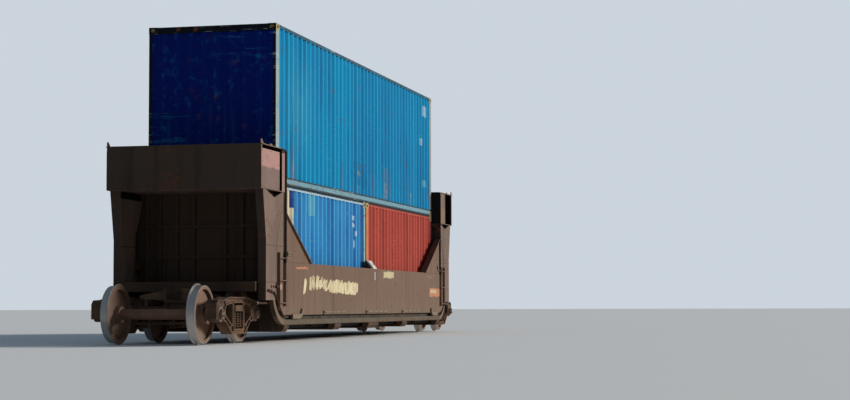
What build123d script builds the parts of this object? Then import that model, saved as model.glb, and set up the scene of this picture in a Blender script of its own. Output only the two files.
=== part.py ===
# One intermediate unit of an articulated bulkhead double-stack well car, standing on its two trucks,
# with a 40 ft high-cube container stacked on two 20 ft containers.
# Millimetres. X runs along the car, Y across it and Z up. The origin is at the middle of the unit,
# on the plane of the wheel flanges' lowest points.

import os
from math import acos, atan2, cos, degrees, radians
from build123d import *

os.makedirs("parts", exist_ok=True)

# Containers
box_width = 2438
box_20_length = 6058
box_20_height = 2591
box_20_gap = 76
box_40_length = 2 * box_20_length + box_20_gap
box_40_height = 2896
box_base = 237
casting_length = 178
casting_width = 162
casting_height = 118
casting_wall = 26
aperture_length = 124
aperture_width = 64
aperture_side_height = 52
aperture_side_width = 80
frame_recess = 4
post_thickness = 60
top_rail = 60
header_height = 110
bottom_rail = 158
rail_lift = 12
wall_depth = 36
end_wall_depth = 42
wall_sheet = 4
wall_pitch = 278
end_wall_pitch = 250
roof_depth = 20
roof_pitch = 262
floor_board = 28
bearer_pitch = 305
bearer_width = 45
fork_pocket_spacing = 2050
fork_pocket_length = 360
fork_pocket_height = 98
door_inset = 62
door_thickness = 50
door_panel_depth = 18
lock_rod_radius = 16

# Car body along X, measured outward from the well's end walls
end_clearance = 46
bend_before_end = 22
girder_beyond = 458
post_beyond = 1058
head_beyond = 1360
deck_beyond = 1208
stub_beyond = 1338
truck_beyond = 1586

# Car body across Y and up Z
side_clearance = 43
girder_box_width = 128
web_thickness = 12
girder_top = 1430
top_chord_height = 130
band_bottom = 310
band_height = 95
groove_height = 82
groove_depth = 72
bend_radius = 737
end_plate = 12
rib_depth = 50
rib_width = 60

# Bulkheads
post_bottom = 750
post_flare_z = 1800
head_bottom = 2660
head_top = 3430
head_plate = 14
head_corner_radius = 120
head_side_gap = 13
flange_gap = 3
flange_reach = 27
flange_thickness = 14
rim_drop = 80
gusset_run = 1542
gusset_rise = 860
gusset_cap_width = 140
gusset_cap_thickness = 14

# Platforms over the trucks
deck_top = 1066
deck_plate = 12
stub_half_width = 200
stub_bottom = 720
end_sill_bottom = 900
end_sill_width = 90
arm_bottom = 770
arm_tip_y = 720
arm_width = 140

# Connector castings
socket_radius = 150
socket_floor = 760
connector_top = 950
connector_bottom = 700
connector_radius = 230
connector_pin_radius = 38

# Trucks
wheelbase = 1778
tread_radius = 483
flange_height = 28
back_to_back = 1353
rim_width = 145
bearing_radius = 126
bearing_seat_gap = 0.3
adapter_half = 110
adapter_height = 64
bearing_inner_y = 905
bearing_outer_y = 1100
cap_radius = 86
cap_length = 50
jaw_side_gap = 14
frame_inner_y = 905
frame_outer_y = 1100
lip_width = 24
lip_depth = 32
spring_seat = 265
spring_height = 295
spring_radius = 46
spring_spacing_x = 132
spring_spacing_y = 96
bolster_half = 190
bowl_floor = 640
bowl_ring_top = 672
centre_plate_radius = 200
centre_plate_gap = 0.3
wedge_gap = 0.3
side_bearing_gap = 8
side_bearing_x = 130
side_bearing_y = 635
brake_gap = 12
brake_beam_x = 318
shoe_y = 750

# Derived places
well_end = box_40_length / 2 + end_clearance
end_plate_outer = well_end + end_plate
girder_end = well_end + girder_beyond
bend_x = well_end - bend_before_end
bend_z = band_bottom + bend_radius
band_top = band_bottom + band_height
web_bottom = band_top + groove_height
post_outer_x = well_end + post_beyond
head_outer_x = well_end + head_beyond
deck_end_x = well_end + deck_beyond
stub_end_x = well_end + stub_beyond
truck_x = well_end + truck_beyond
girder_inner_y = box_width / 2 + side_clearance
web_inner_y = girder_inner_y + girder_box_width
web_outer_y = web_inner_y + web_thickness
post_outer_y = web_outer_y + 3
head_outer_y = web_outer_y + head_side_gap
flange_inner_y = box_width / 2 + flange_gap
flange_outer_y = head_outer_y + flange_reach
gusset_foot_x = well_end - gusset_run
gusset_top = girder_top + gusset_rise
deck_bottom = deck_top - deck_plate
axle_z = tread_radius + flange_height
centre_plate_z = bowl_floor + centre_plate_gap
spring_top = spring_seat + spring_height


def keep(piece, name):
    """Labels a finished piece and writes its file."""
    piece.part.label = name
    export_step(piece.part, f"parts/{name}.step")


def block(x, y, z, mode=Mode.ADD):
    """A block between two values on each axis, in the part being built."""
    centre = ((x[0] + x[1]) / 2, (y[0] + y[1]) / 2, (z[0] + z[1]) / 2)
    with Locations(centre):
        Box(abs(x[1] - x[0]), abs(y[1] - y[0]), abs(z[1] - z[0]), mode=mode)


def both_ways(points):
    """Closes an outline given for the +X half with its mirror image."""
    return points + [(-x, z) for x, z in reversed(points)]


def bent_strip(outer_radius, inner_radius):
    """Draws the +X half of a strip between two bend radii, level first and then bent up to the posts."""
    ends = []
    for radius in (outer_radius, inner_radius):
        turn = degrees(acos((bend_z - post_bottom) / radius))
        Line((0, bend_z - radius), (bend_x, bend_z - radius))
        bend = CenterArc((bend_x, bend_z), radius, -90, turn)
        ends.append(bend @ 1)
    Line(ends[0], ends[1])
    Line((0, bend_z - outer_radius), (0, bend_z - inner_radius))


# Side girders: web plate and box top chord over a bottom chord whose face is a band. The band and the web's
# edge bend up to the posts at both ends, with a deep groove between them.
band_inner_radius = bend_radius - band_height
web_radius = band_inner_radius - groove_height
shelf_radius = web_radius - web_thickness
web_turn = degrees(acos((bend_z - post_bottom) / web_radius))
groove_y = web_outer_y - groove_depth
groove_plate_y = groove_y - web_thickness
# Bend radii of the strip, inner face and thickness across the car
strip_table = [
    (web_radius, shelf_radius, groove_y, web_inner_y - groove_y),
    (bend_radius, shelf_radius, groove_plate_y, web_thickness),
    (bend_radius, band_inner_radius, groove_y, groove_depth),
]
with BuildPart() as side_girders:
    with BuildSketch(Plane.XZ.offset(web_inner_y)):
        with BuildLine():
            Line((0, web_bottom), (bend_x, web_bottom))
            web_bend = CenterArc((bend_x, bend_z), web_radius, -90, web_turn)
            Polyline(
                web_bend @ 1,
                (girder_end, post_bottom),
                (girder_end, girder_top),
                (0, girder_top),
                (0, web_bottom),
            )
        make_face()
    extrude(amount=web_thickness)
    for outer_radius, inner_radius, inner_face, thickness in strip_table:
        with BuildSketch(Plane.XZ.offset(inner_face)):
            with BuildLine():
                bent_strip(outer_radius, inner_radius)
            make_face()
        extrude(amount=thickness)
    block((0, girder_end), (-web_inner_y, -girder_inner_y), (girder_top - top_chord_height, girder_top))
    block((0, bend_x), (-groove_plate_y, -girder_inner_y), (band_bottom, bend_z - shelf_radius))
    mirror(about=Plane.YZ)
    mirror(about=Plane.XZ)
keep(side_girders, "side_girders")

# Gussets from the girder top up to the bulkhead, with their cap flanges
gusset_angle = degrees(atan2(gusset_rise, gusset_run))
cap_lift = gusset_cap_thickness / cos(radians(gusset_angle))
with BuildPart() as gussets:
    with BuildSketch(Plane.XZ.offset(web_inner_y)):
        Polygon((gusset_foot_x, girder_top), (well_end, girder_top), (well_end, gusset_top), align=None)
    extrude(amount=web_thickness)
    with BuildSketch(Plane.XZ.offset(flange_outer_y - gusset_cap_width)):
        Polygon(
            (gusset_foot_x, girder_top),
            (well_end, gusset_top),
            (well_end, gusset_top + cap_lift),
            (gusset_foot_x - gusset_cap_thickness, girder_top + gusset_cap_thickness),
            (gusset_foot_x - gusset_cap_thickness, girder_top),
            align=None,
        )
    extrude(amount=gusset_cap_width)
    mirror(about=Plane.XZ)
    mirror(about=Plane.YZ)
keep(gussets, "gussets")

# Bulkhead posts: flared column with a notch under the head, side panel, and flange that faces the containers
post_top_beyond = 1228
post_top_inset = 20
notch_half = 480
notch_drop = 120
notch_depth = 110
post_top_x = well_end + post_top_beyond
notch_x = (well_end + post_top_x) / 2
post_outline = [
    (girder_end, post_bottom),
    (post_outer_x, post_bottom),
    (post_outer_x, post_flare_z),
    (post_top_x, head_bottom),
    (well_end + post_top_inset, head_bottom),
    (girder_end, post_flare_z),
]
notch = [
    (notch_x - notch_half, head_bottom),
    (notch_x + notch_half, head_bottom),
    (notch_x, head_bottom - notch_drop),
]
with BuildPart() as posts:
    with BuildSketch(Plane.XZ.offset(girder_inner_y)):
        Polygon(*post_outline, align=None)
    extrude(amount=post_outer_y - girder_inner_y)
    block((well_end, girder_end), (-web_outer_y, -web_inner_y), (girder_top, head_bottom))
    with BuildSketch(Plane.XZ.offset(post_outer_y - notch_depth)):
        Polygon(*notch, align=None)
    extrude(amount=notch_depth, mode=Mode.SUBTRACT)
    flange_x = (well_end, well_end + flange_thickness)
    block(flange_x, (-flange_outer_y, -flange_inner_y), (girder_top, head_bottom))
    mirror(about=Plane.XZ)
    mirror(about=Plane.YZ)
keep(posts, "posts")

# Bulkhead heads: hollow box beams across the car, with a window in each side, an overhanging top plate and
# a flange with rounded corners that faces the containers
window_frame = 50
rim_overhang = 20
flange_corner = 60
# Which end the head stands at, and how far beyond the well its side windows begin
window_table = [(-1, 203), (1, 603)]
with BuildPart() as heads:
    for end, window_beyond in window_table:
        for inset, half_y, mode in (
            (0, head_outer_y, Mode.ADD),
            (head_plate, head_outer_y - head_plate, Mode.SUBTRACT),
        ):
            x0 = well_end + inset
            x1 = head_outer_x - inset
            z0 = head_bottom + inset
            z1 = head_top - inset
            corner = head_corner_radius - inset
            with BuildSketch(Plane.XZ.offset(-half_y)):
                with BuildLine():
                    Polyline(
                        (end * (x0 + corner), z1),
                        (end * x1, z1),
                        (end * x1, z0),
                        (end * x0, z0),
                        (end * x0, z1 - corner),
                    )
                    CenterArc((end * (x0 + corner), z1 - corner), corner, 90, end * 90)
                make_face()
            extrude(amount=2 * half_y, mode=mode)
        block(
            (end * (well_end + window_beyond), end * (head_outer_x - window_frame)),
            (-head_outer_y, head_outer_y),
            (head_bottom + head_plate, head_top - head_plate),
            mode=Mode.SUBTRACT,
        )
        for side in (-1, 1):
            block(
                (end * (well_end + head_corner_radius), end * head_outer_x),
                (side * head_outer_y, side * (head_outer_y + rim_overhang)),
                (head_top - head_plate, head_top),
            )
        with BuildSketch(Plane.YZ.offset(end * (well_end + flange_thickness / 2) - flange_thickness / 2)):
            with Locations((0, (head_bottom + head_top) / 2)):
                flange = Rectangle(2 * flange_outer_y, head_top - head_bottom)
            fillet(flange.vertices().group_by(Axis.Y)[-1], flange_corner)
        extrude(amount=flange_thickness)
keep(heads, "heads")

# Blank plates over the side openings of the -X head
plate_beyond = 358
plate_thickness = 4
plate_foot = 15
with BuildPart() as sign_plates:
    block(
        (-head_outer_x, -well_end - plate_beyond),
        (-head_outer_y - plate_thickness, -head_outer_y),
        (head_bottom + plate_foot, head_top - rim_drop),
    )
    mirror(about=Plane.XZ)
keep(sign_plates, "sign_plates")

# Well end walls: plate with ribs and two rails on the truck side, and a hole for the train-line pipe
pipe_z = 700
pipe_radius = 21
pipe_side_gap = 2
pipe_clearance = 6
wall_lift = 2
pipe_y = groove_plate_y - pipe_radius - pipe_side_gap
wall_foot = 187
rib_rows = [300, 620, 940, 1180]
end_rails = [1500, 2050]
with BuildPart() as end_walls:
    wall_x = (well_end, end_plate_outer)
    rib_x = (end_plate_outer, end_plate_outer + rib_depth)
    block(wall_x, (-girder_inner_y, girder_inner_y), (wall_foot, girder_top))
    shelf_z = bend_z - shelf_radius + wall_lift
    block(wall_x, (-web_inner_y, web_inner_y), (shelf_z, girder_top - top_chord_height))
    block(wall_x, (-flange_inner_y, flange_inner_y), (girder_top, head_bottom))
    for rib_y in rib_rows:
        for side in (-1, 1):
            rib_span = (side * rib_y - rib_width / 2, side * rib_y + rib_width / 2)
            block(rib_x, rib_span, (wall_foot, deck_bottom))
            block(rib_x, rib_span, (deck_top, head_bottom))
    for rail_z in end_rails:
        block(rib_x, (-rib_rows[-1], rib_rows[-1]), (rail_z, rail_z + rib_width))
    with Locations(Plane.YZ.offset(well_end)):
        with Locations((-pipe_y, pipe_z)):
            Cylinder(pipe_radius + pipe_clearance, 4 * end_plate, mode=Mode.SUBTRACT)
    mirror(about=Plane.YZ)
keep(end_walls, "end_walls")

# Well crossmembers, hung from the bottom chords by their ends: centre and half length along X
end_member_half = 136
bay_member_x = 2700
crossmember_table = [(0, 400), (bay_member_x, 210), (well_end - end_member_half, end_member_half)]
crossmember_top = 225
hanger_width = 140
hanger_lap = 14
hanger_chamfer = (55, 60)
hanger_inner_y = girder_inner_y - hanger_lap
hanger = [
    (hanger_inner_y + hanger_width, band_bottom),
    (hanger_inner_y, band_bottom),
    (hanger_inner_y, crossmember_top),
    (0, crossmember_top),
    (0, wall_foot),
    (hanger_inner_y + hanger_width - hanger_chamfer[0], wall_foot),
    (hanger_inner_y + hanger_width, wall_foot + hanger_chamfer[1]),
]
with BuildPart() as crossmembers:
    for centre_x, half_length in crossmember_table:
        for side in (-1, 1) if centre_x else (1,):
            with BuildSketch(Plane.YZ.offset(side * centre_x - half_length)):
                Polygon(*hanger, align=None)
                Polygon(*[(-y, z) for y, z in hanger], align=None)
            extrude(amount=2 * half_length)
keep(crossmembers, "crossmembers")

# Diagonal floor braces between the crossmembers
brace_width = 110
brace_side_gap = 90
brace_lift = 13
brace_thickness = 12
brace_z = wall_foot + brace_lift
brace_bays = [
    (crossmember_table[0][1], bay_member_x - crossmember_table[1][1]),
    (bay_member_x + crossmember_table[1][1], well_end - 2 * end_member_half),
]
with BuildPart() as floor_braces:
    for near_x, far_x in brace_bays:
        with BuildSketch(Plane.XY.offset(brace_z)):
            for slope in (-1, 1):
                y = slope * (girder_inner_y - brace_side_gap)
                half = brace_width / 2
                Polygon(
                    (near_x, -y - half),
                    (far_x, y - half),
                    (far_x, y + half),
                    (near_x, -y + half),
                    align=None,
                )
        extrude(amount=brace_thickness)
    mirror(about=Plane.YZ)
keep(floor_braces, "floor_braces")

# Pedestals under the lower containers' corner castings
pedestal_half_x = 85
pedestal_half_y = 75
pedestal_x = [(box_20_gap + casting_length) / 2, box_20_gap / 2 + box_20_length - casting_length / 2]
pedestal_y = box_width / 2 - casting_width / 2
with BuildPart() as pedestals:
    for x in pedestal_x:
        block(
            (x - pedestal_half_x, x + pedestal_half_x),
            (-pedestal_y - pedestal_half_y, -pedestal_y + pedestal_half_y),
            (crossmember_top, box_base),
        )
    mirror(about=Plane.XZ)
    mirror(about=Plane.YZ)
keep(pedestals, "pedestals")

# Tent-shaped guides on the girder tops at mid length
guide_half = 220
guide_height = 172
guide_foot = 24
guide_ridge = 22
guide_toe = 10
with BuildPart() as mid_guides:
    with BuildSketch(Plane.YZ.offset(-guide_half)):
        Polygon(
            (-girder_inner_y, girder_top),
            (-web_outer_y, girder_top),
            (-web_outer_y + guide_toe, girder_top + guide_foot),
            (-girder_inner_y - guide_ridge, girder_top + guide_height),
            (-girder_inner_y, girder_top + guide_height),
            align=None,
        )
    extrude(amount=2 * guide_half)
    mirror(about=Plane.XZ)
keep(mid_guides, "mid_guides")

# Hooked jacking brackets low on the web near its ends: offsets inward from the well's end, and heights
hook_table = [(382, 420), (812, 420), (942, 470), (1002, 585), (967, 600), (907, 515), (797, 500), (382, 500)]
hook_thickness = 40
with BuildPart() as jacking_brackets:
    with BuildSketch(Plane.XZ.offset(web_outer_y)):
        Polygon(*[(well_end - inward, z) for inward, z in hook_table], align=None)
    extrude(amount=hook_thickness)
    mirror(about=Plane.XZ)
    mirror(about=Plane.YZ)
keep(jacking_brackets, "jacking_brackets")

# Decks over the trucks
with BuildPart() as decks:
    with BuildSketch(Plane.XY.offset(deck_bottom)):
        Polygon(
            (end_plate_outer, -web_inner_y),
            (girder_end, -web_inner_y),
            (girder_end, -girder_inner_y),
            (deck_end_x, -girder_inner_y),
            (deck_end_x, girder_inner_y),
            (girder_end, girder_inner_y),
            (girder_end, web_inner_y),
            (end_plate_outer, web_inner_y),
            align=None,
        )
    extrude(amount=deck_plate)
    mirror(about=Plane.YZ)
keep(decks, "decks")

# Stub sills under the decks, deeper where they spring from the end walls
sill_root_bottom = 560
sill_root_length = 110
sill_taper_end = 420
sill_tip_top = 980
with BuildPart() as stub_sills:
    with BuildSketch(Plane.XZ.offset(-stub_half_width)):
        Polygon(
            (end_plate_outer, sill_root_bottom),
            (end_plate_outer + sill_root_length, sill_root_bottom),
            (end_plate_outer + sill_taper_end, stub_bottom),
            (stub_end_x, stub_bottom),
            (stub_end_x, sill_tip_top),
            (deck_end_x, deck_bottom),
            (end_plate_outer, deck_bottom),
            align=None,
        )
    extrude(amount=2 * stub_half_width)
    mirror(about=Plane.YZ)
keep(stub_sills, "stub_sills")

# End sills under the deck edges, on both sides of the stub sills
with BuildPart() as end_sills:
    block(
        (deck_end_x - end_sill_width, deck_end_x),
        (-girder_inner_y, -stub_half_width),
        (end_sill_bottom, deck_bottom),
    )
    mirror(about=Plane.XZ)
    mirror(about=Plane.YZ)
keep(end_sills, "end_sills")

# Connector castings: centre plate, socket for the next unit's tongue, and the pin bore
mouth_length = 300
throat_half = 110
with BuildPart() as connector_castings:
    with BuildSketch(Plane.XY.offset(connector_bottom)):
        with Locations((truck_x, 0)):
            Circle(connector_radius)
        Polygon(
            (stub_end_x, -stub_half_width),
            (truck_x, -connector_radius),
            (truck_x, connector_radius),
            (stub_end_x, stub_half_width),
            align=None,
        )
    extrude(amount=connector_top - connector_bottom)
    with BuildSketch(Plane.XY.offset(centre_plate_z)):
        with Locations((truck_x, 0)):
            Circle(centre_plate_radius)
    extrude(amount=connector_bottom - centre_plate_z)
    with BuildSketch(Plane.XY.offset(socket_floor)):
        with Locations((truck_x, 0)):
            Circle(socket_radius)
        Polygon(
            (truck_x, -throat_half),
            (truck_x + mouth_length, -socket_radius),
            (truck_x + mouth_length, socket_radius),
            (truck_x, throat_half),
            align=None,
        )
    extrude(amount=connector_top - socket_floor, mode=Mode.SUBTRACT)
    with BuildSketch(Plane.XY.offset(centre_plate_z)):
        with Locations((truck_x, 0)):
            Circle(connector_pin_radius)
    extrude(amount=connector_top - centre_plate_z, mode=Mode.SUBTRACT)
    mirror(about=Plane.YZ)
keep(connector_castings, "connector_castings")

# Side bearing arms that reach from the stub sills and castings over the truck bolsters
arm_root_drop = 40
arm_knee_y = 500
arm_tip_height = 60
arm_top_inset = 20
arm_x = truck_x - side_bearing_x
with BuildPart() as side_bearing_arms:
    with BuildSketch(Plane.YZ.offset(arm_x - arm_width / 2)):
        Polygon(
            (-stub_half_width, arm_bottom - arm_root_drop),
            (-arm_knee_y, arm_bottom),
            (-arm_tip_y, arm_bottom),
            (-arm_tip_y, arm_bottom + arm_tip_height),
            (-stub_half_width, connector_top - arm_top_inset),
            align=None,
        )
    extrude(amount=arm_width)
    mirror(about=Plane.XZ)
    mirror(about=Plane.YZ)
    add(connector_castings.part, mode=Mode.SUBTRACT)
keep(side_bearing_arms, "side_bearing_arms")

# Ladders on the side panels beside the posts: flat stiles and eight-sided rungs
ladder_beyond = 48
ladder_width = 350
ladder_z = (640, 1590)
rung_heights = [700, 1095, 1490]
rung_radius = 10
stile_half = 5
ladder_stand = 48
ladder_x = (well_end + ladder_beyond, well_end + ladder_beyond + ladder_width)
rung_y = web_outer_y + ladder_stand - rung_radius
with BuildPart() as ladders:
    for x in ladder_x:
        block((x - stile_half, x + stile_half), (-web_outer_y - ladder_stand, -web_outer_y), ladder_z)
    with BuildSketch(Plane.YZ.offset(ladder_x[0])):
        with Locations(*[(-rung_y, z) for z in rung_heights]):
            RegularPolygon(rung_radius, 8)
    extrude(amount=ladder_width)
    mirror(about=Plane.XZ)
    mirror(about=Plane.YZ)
keep(ladders, "ladders")

# Train-line pipe inside the -Y girder, with its clips to the web
pipe_beyond = 1258
clip_half = 20
clip_table = [1500, 4500, well_end + 258]
pipe_end_x = well_end + pipe_beyond
with BuildPart() as train_pipe:
    with BuildSketch(Plane.YZ.offset(-pipe_end_x)):
        with Locations((-pipe_y, pipe_z)):
            Circle(pipe_radius)
    extrude(amount=2 * pipe_end_x)
    for clip_x in clip_table:
        for x in (-clip_x, clip_x):
            block(
                (x - clip_half, x + clip_half),
                (-web_inner_y, -pipe_y),
                (pipe_z - clip_half, pipe_z + clip_half),
            )
keep(train_pipe, "train_pipe")

# Angle bars along the lower web, each with a block at its -X end: first and last X
web_bar_table = [(-3700, -2160), (-620, 1170), (2430, 4110)]
web_bar_z = (515, 550)
web_bar_reach = 16
web_block_z = (496, 560)
web_block_reach = 24
web_block_half = 60
web_block_y = (-web_outer_y - web_block_reach, -web_outer_y)
with BuildPart() as web_bars:
    for x0, x1 in web_bar_table:
        block((x0, x1), (-web_outer_y - web_bar_reach, -web_outer_y), web_bar_z)
        block((x0 - web_block_half, x0 + web_block_half), web_block_y, web_block_z)
    mirror(about=Plane.XZ)
keep(web_bars, "web_bars")

# Trucks. Half section of a wheelset from the middle of its axle outward: distance along the axle, radius.
wheel_inner_y = back_to_back / 2
wheel_outer_y = wheel_inner_y + rim_width
wheel_radius = tread_radius + flange_height
axle_radius = 88
hub_radius = 140
rim_inside = tread_radius - 66
wheelset_half = [
    (0, axle_radius),
    (wheel_inner_y - 40, axle_radius),
    (wheel_inner_y - 40, hub_radius),
    (wheel_inner_y + 40, hub_radius + 14),
    (wheel_inner_y + 62, rim_inside),
    (wheel_inner_y, rim_inside),
    (wheel_inner_y, wheel_radius - 14),
    (wheel_inner_y + 14, wheel_radius),
    (wheel_inner_y + 40, tread_radius + 2),
    (wheel_outer_y, tread_radius - 7),
    (wheel_outer_y, rim_inside),
    (wheel_outer_y - 50, rim_inside),
    (wheel_outer_y - 72, hub_radius + 14),
    (wheel_outer_y + 12, hub_radius),
    (wheel_outer_y + 12, axle_radius),
    (bearing_inner_y, axle_radius),
    (bearing_inner_y, bearing_radius),
    (bearing_outer_y, bearing_radius),
    (bearing_outer_y, cap_radius),
    (bearing_outer_y + cap_length, cap_radius - 8),
    (bearing_outer_y + cap_length, 0),
]
wheelset_outline = [(radius, along) for along, radius in wheelset_half]
wheelset_outline += [(radius, -along) for along, radius in reversed(wheelset_half[1:])]

# Half outline of a cast side frame, from its middle outward, with the pedestal jaw over the bearing
axle_offset = wheelbase / 2
frame_depth = frame_outer_y - frame_inner_y
jaw_half = bearing_radius + jaw_side_gap
jaw_roof = axle_z + bearing_radius + 8
leg_width = 62
keel_z = 178
frame_half = [
    (0, keel_z),
    (330, keel_z),
    (axle_offset - jaw_half - 120, 385),
    (axle_offset - jaw_half, 395),
    (axle_offset - jaw_half, jaw_roof),
    (axle_offset + jaw_half, jaw_roof),
    (axle_offset + jaw_half, 430),
    (axle_offset + jaw_half + leg_width, 430),
    (axle_offset + jaw_half + leg_width, jaw_roof + 35),
    (axle_offset + jaw_half - 10, jaw_roof + 100),
    (axle_offset - jaw_half, jaw_roof + 110),
    (470, 800),
    (0, 800),
]
window_half = 225
window_top = 700
column_width = 72
side_window = [
    (window_half + column_width, 320),
    (window_half + column_width, window_top - 5),
    (axle_offset - jaw_half - 150, window_top - 40),
    (axle_offset - jaw_half - 95, 610),
    (axle_offset - jaw_half - 95, 500),
]
cast_corner = 24


def frame_face(face):
    """Draws a side frame's face with its spring window and two side windows, in the sketch being made."""
    Polygon(*both_ways(frame_half), align=None)
    for side in (-1, 1):
        Polygon(*[(side * x, z) for x, z in side_window], align=None, mode=Mode.SUBTRACT)
    legs = axle_offset - jaw_half - 1
    crown = jaw_roof + 20
    cast = [corner for corner in face.vertices() if abs(corner.X) < legs or corner.Y > crown]
    fillet(cast, cast_corner)
    with Locations((0, (spring_seat + window_top) / 2)):
        Rectangle(2 * window_half, window_top - spring_seat, mode=Mode.SUBTRACT)


# Bolster section across the car, its friction wedges, lightening pockets and side bearing pads
bolster_end_y = frame_outer_y + 10
bolster_top = 660
bolster_keel = 470
bolster_half_section = [
    (0, bolster_keel),
    (420, bolster_keel),
    (700, spring_top),
    (bolster_end_y, spring_top),
    (bolster_end_y, bolster_top),
    (800, bolster_top),
    (600, bowl_floor),
    (0, bowl_floor),
]
bowl_wall = 40
bowl_clearance = 5
wedge_inset = 30
wedge_margin = 10
pocket_centre = (420, 570)
pocket_size = (300, 80)
pocket_depth = 70
pad_half = (45, 60)
pad_root = 20

# Brake beams: bar, strut and shoes
beam_z = (330, 375)
beam_half = 25
strut_half = 30
strut_length = 75
strut_z = (315, 390)
shoe_half = 42
shoe_z = (270, 520)

for truck_name, centre_x in (("a", -truck_x), ("b", truck_x)):
    with BuildPart() as side_frames:
        inner_plane = Plane(origin=(centre_x, -frame_inner_y, 0), x_dir=(1, 0, 0), z_dir=(0, -1, 0))
        with BuildSketch(inner_plane) as face:
            frame_face(face)
        extrude(amount=frame_depth)
        with BuildSketch(inner_plane.offset(frame_depth - lip_depth)) as face:
            frame_face(face)
            offset(amount=-lip_width)
        extrude(amount=lip_depth, mode=Mode.SUBTRACT)
        for side in (-1, 1):
            axle_x = centre_x + side * axle_offset
            block(
                (axle_x - adapter_half, axle_x + adapter_half),
                (-frame_outer_y, -frame_inner_y),
                (jaw_roof - adapter_height, jaw_roof),
            )
        with BuildSketch(inner_plane):
            with Locations((-axle_offset, axle_z), (axle_offset, axle_z)):
                Circle(bearing_radius + bearing_seat_gap)
        extrude(amount=frame_depth, mode=Mode.SUBTRACT)
        mirror(about=Plane.XZ)
    keep(side_frames, f"truck_{truck_name}_side_frames")

    with BuildPart() as bolster:
        section = Plane(origin=(centre_x - bolster_half, 0, 0), x_dir=(0, 1, 0), z_dir=(1, 0, 0))
        with BuildSketch(section):
            Polygon(*both_ways(bolster_half_section), align=None)
        extrude(amount=2 * bolster_half)
        for face_x in (-1, 1):
            for side in (-1, 1):
                block(
                    (centre_x + face_x * (bolster_half - pocket_depth), centre_x + face_x * bolster_half),
                    (
                        side * (pocket_centre[0] - pocket_size[0] / 2),
                        side * (pocket_centre[0] + pocket_size[0] / 2),
                    ),
                    (pocket_centre[1] - pocket_size[1] / 2, pocket_centre[1] + pocket_size[1] / 2),
                    mode=Mode.SUBTRACT,
                )
                block(
                    (centre_x + face_x * bolster_half, centre_x + face_x * (window_half - wedge_gap)),
                    (side * (frame_inner_y + wedge_inset), side * (frame_outer_y - wedge_inset)),
                    (spring_top + wedge_margin, bolster_top - wedge_margin),
                )
                block(
                    (
                        centre_x + face_x * side_bearing_x - pad_half[0],
                        centre_x + face_x * side_bearing_x + pad_half[0],
                    ),
                    (side * (side_bearing_y - pad_half[1]), side * (side_bearing_y + pad_half[1])),
                    (bowl_floor - pad_root, arm_bottom - side_bearing_gap),
                )
        with BuildSketch(Plane.XY.offset(spring_top)):
            with Locations((centre_x, 0)):
                Circle(centre_plate_radius + bowl_wall)
        extrude(amount=bowl_ring_top - spring_top)
        with BuildSketch(Plane.XY.offset(bowl_floor)):
            with Locations((centre_x, 0)):
                Circle(centre_plate_radius + bowl_clearance)
        extrude(amount=bowl_ring_top - bowl_floor, mode=Mode.SUBTRACT)
    keep(bolster, f"truck_{truck_name}_bolster")

    # Spring nests as twelve-sided outer shapes of their coils
    with BuildPart() as springs:
        with BuildSketch(Plane.XY.offset(spring_seat)):
            for side in (-1, 1):
                with Locations((centre_x, side * (frame_inner_y + frame_outer_y) / 2)):
                    with GridLocations(spring_spacing_x, spring_spacing_y, 3, 2):
                        RegularPolygon(spring_radius, 12)
        extrude(amount=spring_height)
    keep(springs, f"truck_{truck_name}_springs")

    with BuildPart() as brake_beams:
        for side in (-1, 1):
            beam_x = centre_x + side * brake_beam_x
            block((beam_x - beam_half, beam_x + beam_half), (-frame_inner_y, frame_inner_y), beam_z)
            block((beam_x, beam_x - side * strut_length), (-strut_half, strut_half), strut_z)
            for shoe_side in (-1, 1):
                block(
                    (beam_x, centre_x + side * (axle_offset - tread_radius + 60)),
                    (shoe_side * (shoe_y - shoe_half), shoe_side * (shoe_y + shoe_half)),
                    shoe_z,
                )
        with BuildSketch(Plane.XZ.offset(-frame_inner_y)):
            with Locations((centre_x - axle_offset, axle_z), (centre_x + axle_offset, axle_z)):
                Circle(tread_radius + brake_gap)
        extrude(amount=2 * frame_inner_y, mode=Mode.SUBTRACT)
    keep(brake_beams, f"truck_{truck_name}_brake_beams")

    for number, side in ((1, -1), (2, 1)):
        axle_x = centre_x + side * axle_offset
        with BuildPart() as wheelset:
            with BuildSketch(Plane(origin=(axle_x, 0, axle_z), x_dir=(1, 0, 0), z_dir=(0, 0, 1))):
                Polygon(*wheelset_outline, align=None)
            revolve(axis=Axis((axle_x, 0, axle_z), (0, 1, 0)))
        keep(wheelset, f"wheelset_{truck_name}{number}")


def wave_points(start, end, pitch, crest, depth):
    """Outer line of a pressed sheet: crests at one height, troughs lower by the depth."""
    count = max(1, round((end - start) / pitch))
    step = (end - start) / count
    points = []
    for index in range(count):
        left = start + index * step
        points.append((left, crest))
        points.append((left + 0.26 * step, crest))
        points.append((left + 0.50 * step, crest - depth))
        points.append((left + 0.76 * step, crest - depth))
    points.append((end, crest))
    return points


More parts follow.
